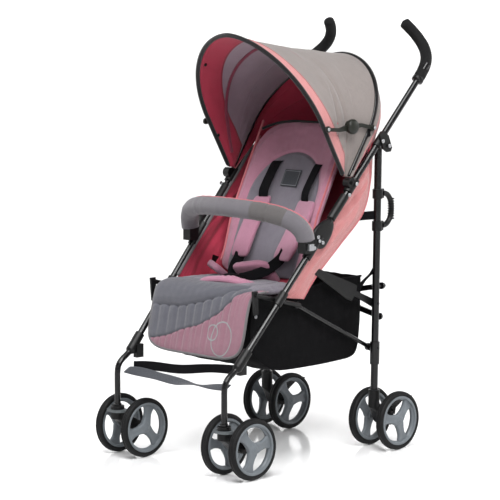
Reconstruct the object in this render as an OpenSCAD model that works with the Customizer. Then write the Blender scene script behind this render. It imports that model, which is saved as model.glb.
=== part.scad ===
// Umbrella-fold baby stroller: two side frames, twin-wheel casters, a folding hood and a padded seat.
// Millimetres, +Z up, the child faces -Y, the left side is +X. Fabric is held by simple solids.

/* [Overall] */
// Height of the leg pivot on the handle tube
hub_z = 780; // [740:5:820]
// Distance of a rear leg's top from the centre plane
hub_x = 201; // [195:1:215]
// Slope of the handle tube from the horizontal, in degrees
tube_slope = 47.96; // [45:0.1:51]
// Length of the straight handle tube
tube_len = 950; // [900:5:980]
// Distance of the lower end of a handle tube from the centre plane
foot_x = 193; // [190:1:210]
// Outward lean of the handle tube for each unit of its run
tube_lean = 0.0547; // [0.04:0.005:0.08]

/* [Tubes] */
// Diameter of the handle tube
tube_d = 16; // [14:0.5:18]
// Diameter of the rear leg
leg_d = 19; // [17:0.5:20]
// Diameter of the bent caster stem
stem_d = 15; // [13:0.5:16]
// Diameter of the seat rail
rail_d = 12; // [10:0.5:13]
// Diameter of the side brace
brace_d = 11; // [9:0.5:12]
// Diameter of the hood bows
bow_d = 8; // [6:0.5:10]
// Diameter of the foam grip
grip_d = 29; // [26:1:34]

/* [Wheels] */
// Outer diameter of a tyre
wheel_d = 150; // [140:1:155]
// Width of a tyre
tyre_w = 20; // [16:1:24]
// Distance between the middles of twin wheels
twin_w = 95; // [90:1:100]
// Height of the tyre section above the rim
tyre_h = 12; // [9:1:15]
// Diameter of an axle
axle_d = 8; // [6:0.5:10]
// Trail of the front caster axle behind its swivel
trail = 47.5; // [40:0.5:52]
// Distance of the rear axle behind the rear leg
rear_set = 38; // [34:1:44]

/* [Seat] */
// Half width of the seat and backrest
seat_half = 160; // [150:1:162]
// Angle of the backrest from the horizontal
back_angle = 63.5; // [58:0.5:70]
// Length of the backrest
back_len = 430; // [390:5:450]
// Thickness of the seat pad
pad_t = 26; // [18:1:30]
// Height of the seat's front edge
seat_z = 437; // [430:1:445]
// Length of the calf rest
calf_len = 162; // [130:2:180]

/* [Hood] */
// Angle of the front bow forward of the vertical
bow_front_a = 30.2; // [28:0.2:34]
// Angle of the rear bow behind the vertical
bow_rear_a = 33; // [28:0.2:35]
// Radius from the hood pivot to the top of the front bow
bow_front_r = 422; // [400:1:440]
// Radius from the hood pivot to the top of the rear bow
bow_rear_r = 370; // [350:1:380]
// Half width of the hood
hood_half = 204; // [200:1:208]

/* [Basket] */
// Height of the basket's floor
basket_z = 232; // [200:2:240]
// Half width of the basket
basket_half = 158; // [140:1:160]

/* [Hidden] */

$fn = 48;
// Running clearance of a shaft in its hole, on the radius
run = 0.06;
// Air gap between soft or loose neighbours
gap = 1;
wheel_r = wheel_d / 2;
rim_r = wheel_r - tyre_h;
half_twin = twin_w / 2;
// Side view places of the driving points, as [y, z] before the model is centred
leg_y = 226;
hub = [leg_y + 2, hub_z];
rear_axle = [leg_y + rear_set, wheel_r];
// The handle tube passes a fixed distance above and in front of the leg pivot
hub_offset = 19.4;
tube_dir = [cos(tube_slope), sin(tube_slope)];
tube_hub = [hub[0] - hub_offset * tube_dir[1], hub[1] + hub_offset * tube_dir[0]];
// Distance along the tube from its foot to the point beside the leg pivot
foot_to_hub = 700;
foot = tube_hub - foot_to_hub * tube_dir;
swivel_y = foot[0] - 50;
front_axle = [swivel_y + trail, wheel_r];
stem_z = 132;
leg_foot_z = 132;
wheel_x = foot_x;
leg_lean = (hub_x - wheel_x) / (hub_z - leg_foot_z);

// Points on the handle tube, at a distance s from its foot
function tube_at(s) = [foot_x + s * tube_dir[0] * tube_lean,
    foot[0] + s * tube_dir[0], foot[1] + s * tube_dir[1]];
tube_axis = unit(tube_at(1) - tube_at(0));
function leg_at(z) = [wheel_x + (z - leg_foot_z) * leg_lean,
    leg_y + 2 * (z - leg_foot_z) / (hub_z - leg_foot_z), z];
leg_axis = unit(leg_at(hub_z) - leg_at(leg_foot_z));

// The hood turns about pins that stand above the tube on its clamps
hood_pivot_s = foot_to_hub - 147;
hood_pivot = [tube_at(hood_pivot_s)[1], tube_at(hood_pivot_s)[2]] + 13 * [-tube_dir[1], tube_dir[0]];
bumper_s = 360;
rail_s = 200;
rail_x = tube_at(rail_s)[0] - tube_d / 2 - rail_d / 2 - gap;
rail_mid = [tube_at(rail_s)[1], tube_at(rail_s)[2] - 4];
rail_front = rail_mid + [-72, 19];
rail_rear = rail_mid + [82, -21];
brace_x = rail_x - rail_d / 2 - brace_d / 2 - gap;
brace_z = 262;
strut_z = 376;
strut_t = 5;
strut_x = leg_at(strut_z)[0] - leg_d / 2 - strut_t / 2 - gap;
strut_front = rail_rear + [60, 78];
cross_y = leg_y + leg_d / 2 + 5;
cross_t = 5;
cross_low = 341;
cross_high = 419;
cross_mid = (cross_low + cross_high) / 2;

function unit(v) = v / norm(v);
function bez(p, t) = pow(1 - t, 3) * p[0] + 3 * pow(1 - t, 2) * t * p[1]
    + 3 * (1 - t) * t * t * p[2] + t * t * t * p[3];
function bez_path(p, n) = [for (i = [0:n]) bez(p, i / n)];
function heading(p, i) = unit(p[min(i + 1, len(p) - 1)] - p[max(i - 1, 0)]);
function ring(p, i, r, ref, n) = let (t = heading(p, i), a = unit(cross(t, ref)), b = cross(t, a))
    [for (k = [0:n - 1]) p[i] + r * (cos(360 * k / n) * a + sin(360 * k / n) * b)];

// A round bar that follows a path
module sweep(p, r, ref = [1, 0, 0], n = 14) {
    pts = [for (i = [0:len(p) - 1]) each ring(p, i, r, ref, n)];
    last = len(p) - 1;
    polyhedron(pts, concat(
        [[for (k = [0:n - 1]) k]],
        [for (i = [0:last - 1], k = [0:n - 1])
            [i * n + k, (i + 1) * n + k, (i + 1) * n + (k + 1) % n, i * n + (k + 1) % n]],
        [[for (k = [n - 1:-1:0]) last * n + k]]), convexity = 6);
}

module place() { translate([0, -y_mid, 0]) children(); }
module on_side(s) { place() mirror([s < 0 ? 1 : 0, 0, 0]) children(); }

// Turns +Z onto a direction
module along(p, dir) {
    n = norm(dir);
    translate(p) rotate([0, acos(dir[2] / n), atan2(dir[1], dir[0])]) children();
}

module rod(a, b, d) { along(a, b - a) cylinder(d = d, h = norm(b - a)); }
module disc_x(p, d, t) { translate(p) rotate([0, 90, 0]) cylinder(d = d, h = t, center = true); }
module profile_x(x0, x1, pts) {
    translate([x0, 0, 0]) rotate([90, 0, 90]) linear_extrude(x1 - x0) polygon(pts);
}
module rivet_x(p, d = 9, t = 3) {
    translate(p) rotate([0, 90, 0]) { cylinder(d = d, h = t * 0.5); cylinder(d = d * 0.7, h = t); }
}

module front_tube() { color([0.06, 0.06, 0.07]) rod(tube_at(0), tube_at(tube_len), tube_d); }

// The foam grip bends up, inwards and slightly forwards from the end of the tube
grip_start = tube_at(tube_len - 55);
grip_end = [133, tube_at(tube_len)[1] + 14, tube_at(tube_len)[2] + 106];
grip_path = bez_path([grip_start, grip_start + 60 * tube_axis, grip_end + [32, 86, -77], grip_end], 22);
grip_tip_dir = heading(grip_path, 22);
grip_rear = max([for (p = grip_path) p[1]]);
y_mid = (front_axle[0] - wheel_r + grip_rear + grip_d / 2) / 2;

module handle_grip() {
    color([0.1, 0.1, 0.11]) difference() {
        union() {
            sweep(grip_path, grip_d / 2, [0, 1, -1], 20);
            along(grip_end - 9 * grip_tip_dir, grip_tip_dir) cylinder(d = grip_d + 1.5, h = 16);
        }
        rod(grip_start - 5 * tube_axis, tube_at(tube_len) + 0.05 * tube_axis, tube_d + 0.1);
    }
}

hub_outer_x = tube_at(foot_to_hub)[0] + tube_d / 2;
module hub_plate() {
    color([0.12, 0.12, 0.13]) {
        difference() {
            profile_x(hub_outer_x + 1.2, hub_outer_x + 6, [
                tube_hub + [-16, 16], tube_hub + [2, 24], tube_hub + [18, 12],
                hub + [17, -6], hub + [12, -16], hub + [-2, -17], hub + [-16, -8]]);
            disc_x([hub_outer_x, hub[0], hub[1]], 8 + 2 * run, 30);
        }
        difference() {
            along(tube_at(foot_to_hub - 20), tube_axis) cylinder(d = tube_d + 6, h = 40);
            along(tube_at(foot_to_hub - 21), tube_axis) cylinder(d = tube_d + 0.1, h = 42);
        }
    }
    color([0.8, 0.8, 0.82]) {
        // The pivot pin passes below the tube and carries the leg
        translate([hub_x - leg_d / 2 - 4, hub[0], hub[1]]) rotate([0, 90, 0])
            cylinder(d = 8, h = hub_outer_x + 9 - hub_x + leg_d / 2 + 4);
        rivet_x([hub_outer_x + 6, tube_hub[0], tube_hub[1]]);
    }
}

module rear_leg() {
    top = leg_at(hub_z);
    color([0.06, 0.06, 0.07]) {
        difference() {
            union() {
                rod(leg_at(leg_foot_z), top - 10 * leg_axis, leg_d);
                disc_x([hub_x, hub[0], hub[1]], 26, leg_d - 4);
            }
            disc_x([hub_x, hub[0], hub[1]], 8 + 2 * run, 40);
        }
        // Brackets that carry the brace and the release lever
        difference() {
            along(leg_at(brace_z - 42), leg_axis) cylinder(d = leg_d + 6, h = 58);
            along(leg_at(brace_z - 43), leg_axis) cylinder(d = leg_d + 0.1, h = 60);
        }
    }
    color([0.8, 0.8, 0.82]) {
        // Pins of the brace, the strut and the two cross bars
        translate([brace_x - brace_d / 2 - 3, leg_at(brace_z)[1], brace_z]) rotate([0, 90, 0])
            cylinder(d = 6, h = leg_at(brace_z)[0] - brace_x + brace_d / 2 + 17);
        translate([strut_x - strut_t / 2 - 1, leg_at(strut_z)[1], strut_z]) rotate([0, 90, 0])
            cylinder(d = 6, h = leg_at(strut_z)[0] - strut_x + strut_t / 2 + 12);
        for (z = [cross_low, cross_high]) translate([leg_at(z)[0], leg_y, z]) rotate([-90, 0, 0])
            cylinder(d = 8, h = cross_y - leg_y - 0.3);
    }
}

// A twin-wheel housing: a socket for the leg or stem, and a yoke that carries the axle
module axle_yoke(top, axle_y, r) {
    hull() {
        translate([wheel_x, axle_y, wheel_r]) rotate([0, 90, 0])
            cylinder(d = 30, h = twin_w - tyre_w - 28, center = true, $fn = 32);
        translate([wheel_x, top[0], top[1] - 24]) cylinder(r = r - 2, h = 12, $fn = 32);
    }
}

module axle(y) {
    color([0.75, 0.75, 0.77]) translate([wheel_x, y, wheel_r]) rotate([0, 90, 0])
        cylinder(d = axle_d, h = twin_w + tyre_w - 2, center = true);
}

module axle_housing() {
    r = leg_d / 2 + 5;
    color([0.14, 0.14, 0.15]) difference() {
        union() {
            axle_yoke([leg_y, leg_foot_z], rear_axle[0], r);
            along(leg_at(leg_foot_z - 22), leg_axis) cylinder(r = r, h = 44);
            // Ears of the brake pedal
            profile_x(wheel_x - 20, wheel_x + 20, [brake_pivot + [-16, -12], brake_pivot + [9, -11],
                brake_pivot + [12, 6], brake_pivot + [2, 12], brake_pivot + [-23, 13]]);
        }
        rod(leg_at(leg_foot_z), leg_at(leg_foot_z + 60), leg_d + 0.1);
        disc_x([wheel_x, rear_axle[0], wheel_r], axle_d + 0.1, 120);
        // Slot in which the brake pedal swings
        translate([wheel_x - 13, rear_axle[0] - 8, wheel_r + 7]) cube([26, 60, 60]);
    }
    color([0.75, 0.75, 0.77]) disc_x([wheel_x, brake_pivot[0], brake_pivot[1]], 6, 46);
    axle(rear_axle[0]);
}

brake_pivot = [rear_axle[0] + 12, wheel_r + 21];
module brake_pedal() {
    color([0.1, 0.1, 0.1]) difference() {
        union() {
            profile_x(wheel_x - 11, wheel_x + 11, [
                brake_pivot + [-7, -6], brake_pivot + [4, -8], brake_pivot + [16, -2],
                brake_pivot + [54, 22], brake_pivot + [70, 22], brake_pivot + [72, 27],
                brake_pivot + [52, 31], brake_pivot + [10, 12], brake_pivot + [-7, 8]]);
            translate([wheel_x - 24, brake_pivot[0] + 40, brake_pivot[1] + 24]) cube([48, 30, 6]);
        }
        disc_x([wheel_x, brake_pivot[0], brake_pivot[1]], 6 + 2 * run, 60);
    }
}

module side_brace() {
    a = [brace_x, leg_at(brace_z)[1], brace_z];
    b = [brace_x, rail_rear[0], rail_rear[1]];
    dir = unit(b - a);
    color([0.07, 0.07, 0.08]) difference() {
        union() {
            rod(a + 8 * dir, b - 6 * dir, brace_d);
            disc_x(a, 19, brace_d - 1);
            disc_x(b, 17, brace_d - 1);
        }
        disc_x(a, 6 + 2 * run, 30);
        disc_x(b, 6, 30);
    }
}

module strut() {
    rear = [leg_at(strut_z)[1], strut_z];
    dir = (strut_front - rear) / norm(strut_front - rear);
    up = [dir[1], -dir[0]];
    color([0.09, 0.09, 0.1]) difference() {
        profile_x(strut_x - strut_t / 2, strut_x + strut_t / 2, [
            rear + 11 * up - 6 * dir, rear - 9 * up - 6 * dir, rear - 7 * up + 70 * dir,
            rear - 22 * up + 76 * dir, rear - 24 * up + 96 * dir,
            strut_front - 8 * up + 4 * dir, strut_front + 9 * up + 6 * dir,
            rear + 20 * up + 90 * dir, rear + 20 * up + 74 * dir, rear + 7 * up + 70 * dir]);
        disc_x([strut_x, rear[0], rear[1]], 6 + 2 * run, 30);
    }
}

module seat_rail() {
    a = [rail_x, rail_front[0], rail_front[1]];
    b = [rail_x, rail_rear[0], rail_rear[1]];
    color([0.3, 0.3, 0.32]) rod(a, b, rail_d);
    color([0.1, 0.1, 0.1]) {
        difference() {
            union() {
                along(tube_at(rail_s - 19), tube_axis) cylinder(d = tube_d + 6, h = 38);
                disc_x([rail_x + 6, rail_mid[0], rail_mid[1]], 22, 14);
            }
            along(tube_at(rail_s - 20), tube_axis) cylinder(d = tube_d + 0.1, h = 40);
        }
        // Hanger of the calf rest below the front end
        profile_x(rail_x - 5, rail_x + 1, [rail_front + [-8, 9], rail_front + [8, 9],
            rail_front + [11, -48], rail_front + [-3, -50]]);
    }
}

module hood_clamp() {
    s = hood_pivot_s;
    p = tube_at(s);
    color([0.1, 0.1, 0.1]) {
        difference() {
            along(tube_at(s - 20), tube_axis) cylinder(d = tube_d + 8, h = 40);
            along(tube_at(s - 21), tube_axis) cylinder(d = tube_d + 0.1, h = 42);
        }
        // Leaf-shaped plate below the hood pivot
        along(tube_at(s - 104), tube_axis) difference() {
            cylinder(d = tube_d + 6, h = 72);
            translate([0, 0, -1]) cylinder(d = tube_d + 0.1, h = 74);
        }
        difference() {
            disc_x([p[0] + 1, hood_pivot[0], hood_pivot[1]], 26, 20);
            along(tube_at(s - 31), tube_axis) cylinder(d = tube_d + 0.1, h = 62);
        }
    }
    color([0.8, 0.8, 0.82]) rivet_x([p[0] + 11, hood_pivot[0], hood_pivot[1]], 10, 5);
}

module bumper_mount() {
    p = tube_at(bumper_s);
    color([0.09, 0.09, 0.1]) {
        difference() {
            along(tube_at(bumper_s - 34), tube_axis) cylinder(d = tube_d + 7, h = 68);
            along(tube_at(bumper_s - 35), tube_axis) cylinder(d = tube_d + 0.1, h = 70);
        }
        // Socket that receives the end of the bumper bar
        difference() {
            translate([p[0] - 13, p[1] - 40, p[2] - 13]) cube([26, 30, 34]);
            along(tube_at(bumper_s - 35), tube_axis) cylinder(d = tube_d + 0.1, h = 70);
            translate([p[0] + 7, p[1] - 33.3, p[2] - 5.3]) cube([8, 16.6, 16.6]);
        }
    }
}
bumper_end = [tube_at(bumper_s)[0], tube_at(bumper_s)[1] - 27, tube_at(bumper_s)[2] + 26];
bumper_half = [bumper_end, bumper_end + [2, -8, 58], [120, bumper_end[1] - 72, bumper_end[2] + 64],
    [0, bumper_end[1] - 76, bumper_end[2] + 66]];
bumper_curve = bez_path(bumper_half, 14);
bumper_path = concat([for (p = bumper_curve) p],
    [for (i = [13:-1:0]) [-bumper_curve[i][0], bumper_curve[i][1], bumper_curve[i][2]]]);

module bumper_bar() { color([0.45, 0.44, 0.47]) place() sweep(bumper_path, 22, [0, 1, 0.3], 16); }

module bumper_latch() {
    p = tube_at(bumper_s);
    color([0.06, 0.06, 0.06]) place() translate([p[0] + 13.5, p[1] - 33, p[2] - 5]) cube([7, 16, 16]);
}

module foot_joint() {
    color([0.08, 0.08, 0.09]) {
        difference() {
            union() {
                along(tube_at(-4), tube_axis) cylinder(d = tube_d + 8, h = 46);
                translate(tube_at(-6)) sphere(d = tube_d + 9);
                translate([foot_x - 14, foot[0] + 4, foot[1] - 26]) cube([14, 22, 34]);
            }
            along(tube_at(0), tube_axis) cylinder(d = tube_d + 0.1, h = 50);
            sweep(stem_path, stem_d / 2 + 0.1, [1, 0, 0], 24);
        }
    }
}

stem_top = tube_at(-2);
stem_path = concat(bez_path([stem_top, stem_top - 34 * tube_axis,
    [foot_x, swivel_y, foot[1] - 22], [foot_x, swivel_y, foot[1] - 62]], 10),
    [[foot_x, swivel_y, stem_z + 1]]);
module caster_stem() {
    color([0.06, 0.06, 0.07]) {
        sweep(stem_path, stem_d / 2, [1, 0, 0], 24);
        translate([foot_x, swivel_y, stem_z]) cylinder(d = stem_d + 5, h = 5);
    }
    // Swivel pin inside the caster housing
    color([0.7, 0.7, 0.72]) translate([foot_x, swivel_y, stem_z - 24]) cylinder(d = 9, h = 26);
}

module caster_housing() {
    color([0.13, 0.13, 0.14]) difference() {
        union() {
            axle_yoke([swivel_y, stem_z - 6], front_axle[0], 17);
            translate([wheel_x, swivel_y, stem_z - 34]) cylinder(r = 17, h = 33);
        }
        translate([wheel_x, swivel_y, stem_z - 25]) cylinder(d = 9 + 2 * run, h = 40);
        disc_x([wheel_x, front_axle[0], wheel_r], axle_d + 0.1, 120);
        translate([wheel_x - 9, front_axle[0] + 1, wheel_r + 6]) cube([18, 30, 60]);
    }
    axle(front_axle[0]);
}

module swivel_lock() {
    color([0.25, 0.26, 0.28]) difference() {
        translate([wheel_x, swivel_y - 2, stem_z - 16]) {
            for (k = [-1, 1]) translate([k * 7, 0, 0]) cylinder(d = 42, h = 6);
            translate([-7, -21, 0]) cube([14, 42, 6]);
        }
        translate([wheel_x, swivel_y, stem_z - 20]) cylinder(r = 17.5, h = 14);
    }
}

// A wheel about the X axis with its centre at the origin; the outer face looks towards +X
module wheel() {
    w = tyre_w / 2;
    color([0.05, 0.05, 0.05]) rotate([0, 90, 0]) rotate_extrude() polygon([
        [rim_r + 0.1, -w + 3], [rim_r + 4, -w], [wheel_r - 4, -w + 1], [wheel_r - 1, -w + 4],
        [wheel_r, 0], [wheel_r - 1, w - 4], [wheel_r - 4, w - 1], [rim_r + 4, w], [rim_r + 0.1, w - 3]]);
    color([0.42, 0.45, 0.48]) difference() {
        union() {
            rotate([0, 90, 0]) rotate_extrude() polygon([
                [rim_r - 8, -w + 3], [rim_r, -w + 3], [rim_r, w - 3],
                [rim_r - 5, w - 2], [rim_r - 8, w - 6]]);
            rotate([0, 90, 0]) cylinder(d = 30, h = tyre_w - 4, center = true);
            for (a = [0, 120, 240]) rotate([a, 0, 0]) translate([-4, -11, 10]) cube([8, 22, rim_r - 16]);
        }
        rotate([0, 90, 0]) cylinder(d = axle_d + 2 * run, h = tyre_w + 10, center = true);
    }
}
module wheel_at(side, y, out) {
    place() translate([side * (wheel_x + out * half_twin), y, wheel_r])
        mirror([side * out < 0 ? 1 : 0, 0, 0]) wheel();
}

// A flat cross bar between the rear legs
module cross_bar(y, rise, post) {
    a = [leg_at(cross_mid - rise)[0], cross_mid - rise];
    b = [-leg_at(cross_mid + rise)[0], cross_mid + rise];
    d = (b - a) / norm(b - a);
    n = [d[1], -d[0]];
    color([0.08, 0.08, 0.09]) place() difference() {
        union() {
            translate([0, y + cross_t, 0]) rotate([90, 0, 0]) linear_extrude(cross_t)
                polygon([a + 7 * n, b + 7 * n, b - 7 * n, a - 7 * n]);
            for (p = [a, b]) translate([p[0], y, p[1]]) rotate([-90, 0, 0]) {
                cylinder(d = 18, h = cross_t);
                translate([0, 0, -post]) cylinder(d = 9, h = cross_t + post);
                translate([0, 0, cross_t + 3]) sphere(d = p[1] > cross_mid ? 14 : 10);
            }
        }
        translate([0, y - 1, cross_mid]) rotate([-90, 0, 0]) cylinder(d = 6 + 2 * run, h = cross_t + 2);
    }
}
cross_rise = (cross_high - cross_low) / 2;
module cross_bar_a() { cross_bar(cross_y, cross_rise, 0); }
module cross_bar_b() { cross_bar(cross_y + cross_t + 0.6, -cross_rise, cross_t + 0.6); }
module cross_pivot() {
    color([0.8, 0.8, 0.82]) place() translate([0, cross_y - 4, cross_mid]) rotate([-90, 0, 0]) {
        cylinder(d = 6, h = 2 * cross_t + 9);
        cylinder(d = 12, h = 3.5);
        translate([0, 0, 2 * cross_t + 5.5]) cylinder(d = 12, h = 3.5);
    }
}

// An arch in the plane that leaves the hood pivot at an angle behind the vertical
bow_flat = 0.4;
function arch_point(u, half, top) = let (a = 180 * u, k = top * bow_flat, c = cos(a), s = sin(a))
    [half * sign(c) * pow(abs(c), 1.12), k + (top - k) * s];
function arch(u, half, top) = u < 0.2 ? [half, top * bow_flat * u / 0.2]
    : u > 0.8 ? [-half, top * bow_flat * (1 - u) / 0.2] : arch_point((u - 0.2) / 0.6, half, top);
function bow_point(u, angle, half, top) = let (q = arch(u, half, top))
    [q[0], hood_pivot[0] + q[1] * sin(angle), hood_pivot[1] + q[1] * cos(angle)];
function bow(angle, half, top, n = 40) = [for (i = [0:n]) bow_point(0.02 + 0.96 * i / n, angle, half, top)];

module hood_bow_front() { color("black") place() sweep(bow(-bow_front_a, hood_half, bow_front_r), bow_d / 2,
    [0, 1, 0], 10); }
module hood_bow_rear() { color("black") place() sweep(bow(bow_rear_a, hood_half, bow_rear_r), bow_d / 2,
    [0, 1, 0], 10); }

// The canopy is a taut sheet from bow to bow; it starts just behind the front bow
canopy_t = 3;
canopy_n = 32;
function canopy_row(v, out) = [for (i = [0:canopy_n]) let (u = 0.06 + 0.88 * i / canopy_n,
    a = bow_point(u, -bow_front_a, hood_half + out - 5, bow_front_r + out - 5),
    b = bow_point(u, bow_rear_a, hood_half + out - 5, bow_rear_r + out - 5)) a + (b - a) * v];
// The tail hangs from the rear bow down behind the backrest
tail_a = 47;
tail_r = 312;
function tail_row(v, out) = [for (i = [0:canopy_n]) let (u = 0.06 + 0.88 * i / canopy_n,
    a = bow_point(u, bow_rear_a, hood_half + out - 5, bow_rear_r + out - 5),
    b = bow_point(u, tail_a, hood_half + out - 5, tail_r + out - 5)) a + (b - a) * v];
// The moving part of the canopy ends where the part fixed to the rear bow starts
canopy_split = 0.68;
module canopy_mid() {
    color([0.6, 0.57, 0.56]) place() sheet(canopy_row(0.03, 0), canopy_row(canopy_split - 0.01, 0),
        canopy_row(0.03, -canopy_t), canopy_row(canopy_split - 0.01, -canopy_t));
}
module canopy_rear() {
    color([0.6, 0.57, 0.56]) place() {
        sheet(canopy_row(canopy_split, 0), canopy_row(0.97, 0), canopy_row(canopy_split, -canopy_t),
            canopy_row(0.97, -canopy_t));
        sheet(tail_row(0.1, 0), tail_row(1, 0), tail_row(0.1, -canopy_t), tail_row(1, -canopy_t));
    }
}
module sheet(outer_a, outer_b, inner_a, inner_b) {
    m = canopy_n + 1;
    pts = concat(outer_a, outer_b, inner_a, inner_b);
    polyhedron(pts, concat(
        [for (i = [0:canopy_n - 1]) [i, i + 1, m + i + 1, m + i]],
        [for (i = [0:canopy_n - 1]) [2 * m + i, 3 * m + i, 3 * m + i + 1, 2 * m + i + 1]],
        [for (i = [0:canopy_n - 1]) [i, 2 * m + i, 2 * m + i + 1, i + 1]],
        [for (i = [0:canopy_n - 1]) [m + i, m + i + 1, 3 * m + i + 1, 3 * m + i]],
        [[0, m, 3 * m, 2 * m], [m - 1, 3 * m - 1, 4 * m - 1, 2 * m - 1]]), convexity = 8);
}

// The side stay of the hood is two arms that meet at a knuckle
stay_r = 158;
stay_x = hood_half + bow_d / 2 + 1.5;
function on_bow(angle) = hood_pivot + stay_r * [sin(angle), cos(angle)];
stay_front = on_bow(-bow_front_a);
stay_rear = on_bow(bow_rear_a);
stay_mid = (stay_front + stay_rear) / 2 + [0, 5];
module stay_arm(a, b, x) {
    d = (b - a) / norm(b - a);
    n = [-d[1], d[0]];
    color([0.12, 0.13, 0.11]) difference() {
        union() {
            profile_x(x, x + 5, [a + 4 * n, a - 5 * n, a + 40 * d - 10 * n, b - 8 * n, b + 8 * n,
                a + 40 * d + 0 * n]);
            disc_x([x + 2.5, a[0], a[1]], 16, 5);
            disc_x([x + 2.5, b[0], b[1]], 30, 5);
        }
        disc_x([x, b[0], b[1]], 5 + 2 * run, 30);
        disc_x([x, a[0], a[1]], 5 + 2 * run, 30);
    }
}

module knuckle_rear() {
    stay_arm(stay_rear, stay_mid, stay_x);
    color([0.8, 0.8, 0.82]) {
        disc_x([stay_x + 6, stay_mid[0], stay_mid[1]], 5, 14);
        disc_x([stay_x + 3, stay_rear[0], stay_rear[1]], 5, 8);
    }
}
module knuckle_front() { stay_arm(stay_front, stay_mid, stay_x + 5.6); }

back_dir = [cos(back_angle), sin(back_angle)];
back_norm = [sin(back_angle), -cos(back_angle)];
back_foot = [rail_rear[0] + 40, rail_rear[1] + 46];
seat_front = [rail_front[0] + 17, seat_z];

// The sewn cover is the seat pad and the two side panels
module seat_cover() {
    seat_pad();
    side_panels();
}
module seat_pad() {
    color([0.45, 0.44, 0.48]) place() profile_x(-seat_half, seat_half, [
        seat_front + [0, 0], seat_front + [0, -pad_t], back_foot + [-12, -4 - pad_t],
        back_foot + [6, -10 - pad_t / 2], back_foot + [-14, -4]]);
}
module back_pad() {
    top = back_foot + back_len * back_dir;
    color([0.5, 0.36, 0.42]) place() profile_x(-seat_half, seat_half, [
        back_foot, top, top + 20 * back_norm, top + 52 * back_norm - 60 * back_dir,
        back_foot + 78 * back_norm + 215 * back_dir, back_foot + 24 * back_norm + 30 * back_dir,
        back_foot + [8, -6]]);
}
module side_panels() {
    low = tube_at(255);
    high = tube_at(hood_pivot_s - 30);
    x = rail_x + rail_d / 2 - 2;
    color([0.85, 0.55, 0.52]) place() for (s = [-1, 1]) mirror([s < 0 ? 1 : 0, 0, 0])
        profile_x(x, x + 3, [[low[1] + 8, low[2]], [high[1] + 6, high[2]],
            back_foot + 330 * back_dir + 40 * back_norm, back_foot + 78 * back_norm + 215 * back_dir,
            back_foot + 24 * back_norm + 34 * back_dir, [rail_rear[0] + 14, rail_rear[1] + 22]]);
}
calf_lean = 12;
calf_top = seat_front + [-2, -6];
calf_t = 15;
module calf_rest() {
    color([0.45, 0.44, 0.48]) place() translate([0, calf_top[0], calf_top[1]]) rotate([-calf_lean, 0, 0])
        translate([-seat_half - 10, -calf_t, -calf_len]) {
            translate([0, 0, 40]) cube([2 * seat_half + 20, calf_t, calf_len - 40]);
            translate([30, 0, 0]) cube([2 * seat_half - 40, calf_t, 42]);
        }
}
basket_side = [[rail_front[0] + 22, rail_front[1] - 34], [rail_front[0] + 10, basket_z + 58],
    [rail_front[0] + 50, basket_z + 22], [rail_front[0] + 96, basket_z], [leg_y - 40, basket_z],
    [leg_y - 14, basket_z + 12], [leg_y - 12, basket_z + 190], [leg_y - 30, basket_z + 205],
    [rail_rear[0] + 90, basket_z + 176], [rail_rear[0] + 20, rail_rear[1] - 28]];
module basket() {
    color([0.05, 0.05, 0.06]) place() difference() {
        profile_x(-basket_half, basket_half, basket_side);
        profile_x(-basket_half + 3, basket_half - 3, [
            [rail_front[0] + 25, rail_front[1] + 40], [rail_front[0] + 14, basket_z + 60],
            [rail_front[0] + 52, basket_z + 26], [rail_front[0] + 97, basket_z + 3],
            [leg_y - 41, basket_z + 3], [leg_y - 17, basket_z + 14], [leg_y - 15, basket_z + 300]]);
    }
}

function on_back(s, n) = back_foot + s * back_dir - n * back_norm;
module harness() {
    color([0.75, 0.45, 0.52]) place() for (s = [-1, 1]) {
        a = on_back(255, 12);
        translate([s * 62, a[0], a[1]]) rotate([back_angle - 90, 0, 0])
            translate([-28, -9, -175]) cube([56, 18, 175]);
        b = on_back(335, 5);
        translate([s * 52, b[0], b[1]]) rotate([back_angle - 90, 0, 0])
            translate([-16, -3, -76]) cube([32, 3, 76]);
    }
}
module buckle() {
    color([0.05, 0.05, 0.05]) place() difference() {
        translate([-26, back_foot[0] - 100, seat_z + 2]) cube([52, 44, 18]);
        translate([-9.5, back_foot[0] - 90, seat_z + 11]) cube([19, 24, 12]);
    }
}
module buckle_button() {
    color([0.3, 0.3, 0.3]) place() translate([-9, back_foot[0] - 89.5, seat_z + 14.5]) cube([18, 23, 7]);
}
module foot_straps() {
    color([0.35, 0.36, 0.4]) place() {
        translate([-foot_x + 15.5, foot[0] + 4, foot[1] - 42]) cube([2 * foot_x - 31, 3, 22]);
        translate([-foot_x + 9, foot[0] - 40, foot[1] - 58]) cube([2 * foot_x - 18, 22, 3]);
    }
}

handle_top = 656;
handle_low = 574;
module carry_handle() {
    a = leg_at(handle_top) + [0, leg_d / 2 + 9, 0];
    b = leg_at(handle_low) + [0, leg_d / 2 + 9, 0];
    color([0.05, 0.05, 0.05]) place() {
        sweep(bez_path([a, a + [0, 46, 4], b + [0, 46, -4], b], 14), 7, [1, 0, 0], 12);
        for (p = [handle_top, handle_low]) difference() {
            along(leg_at(p - 12), leg_axis) union() {
                cylinder(d = leg_d + 7, h = 24);
                translate([-7, 6, 0]) cube([14, 16, 24]);
            }
            along(leg_at(p - 13), leg_axis) cylinder(d = leg_d + 0.1, h = 26);
        }
    }
}

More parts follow.
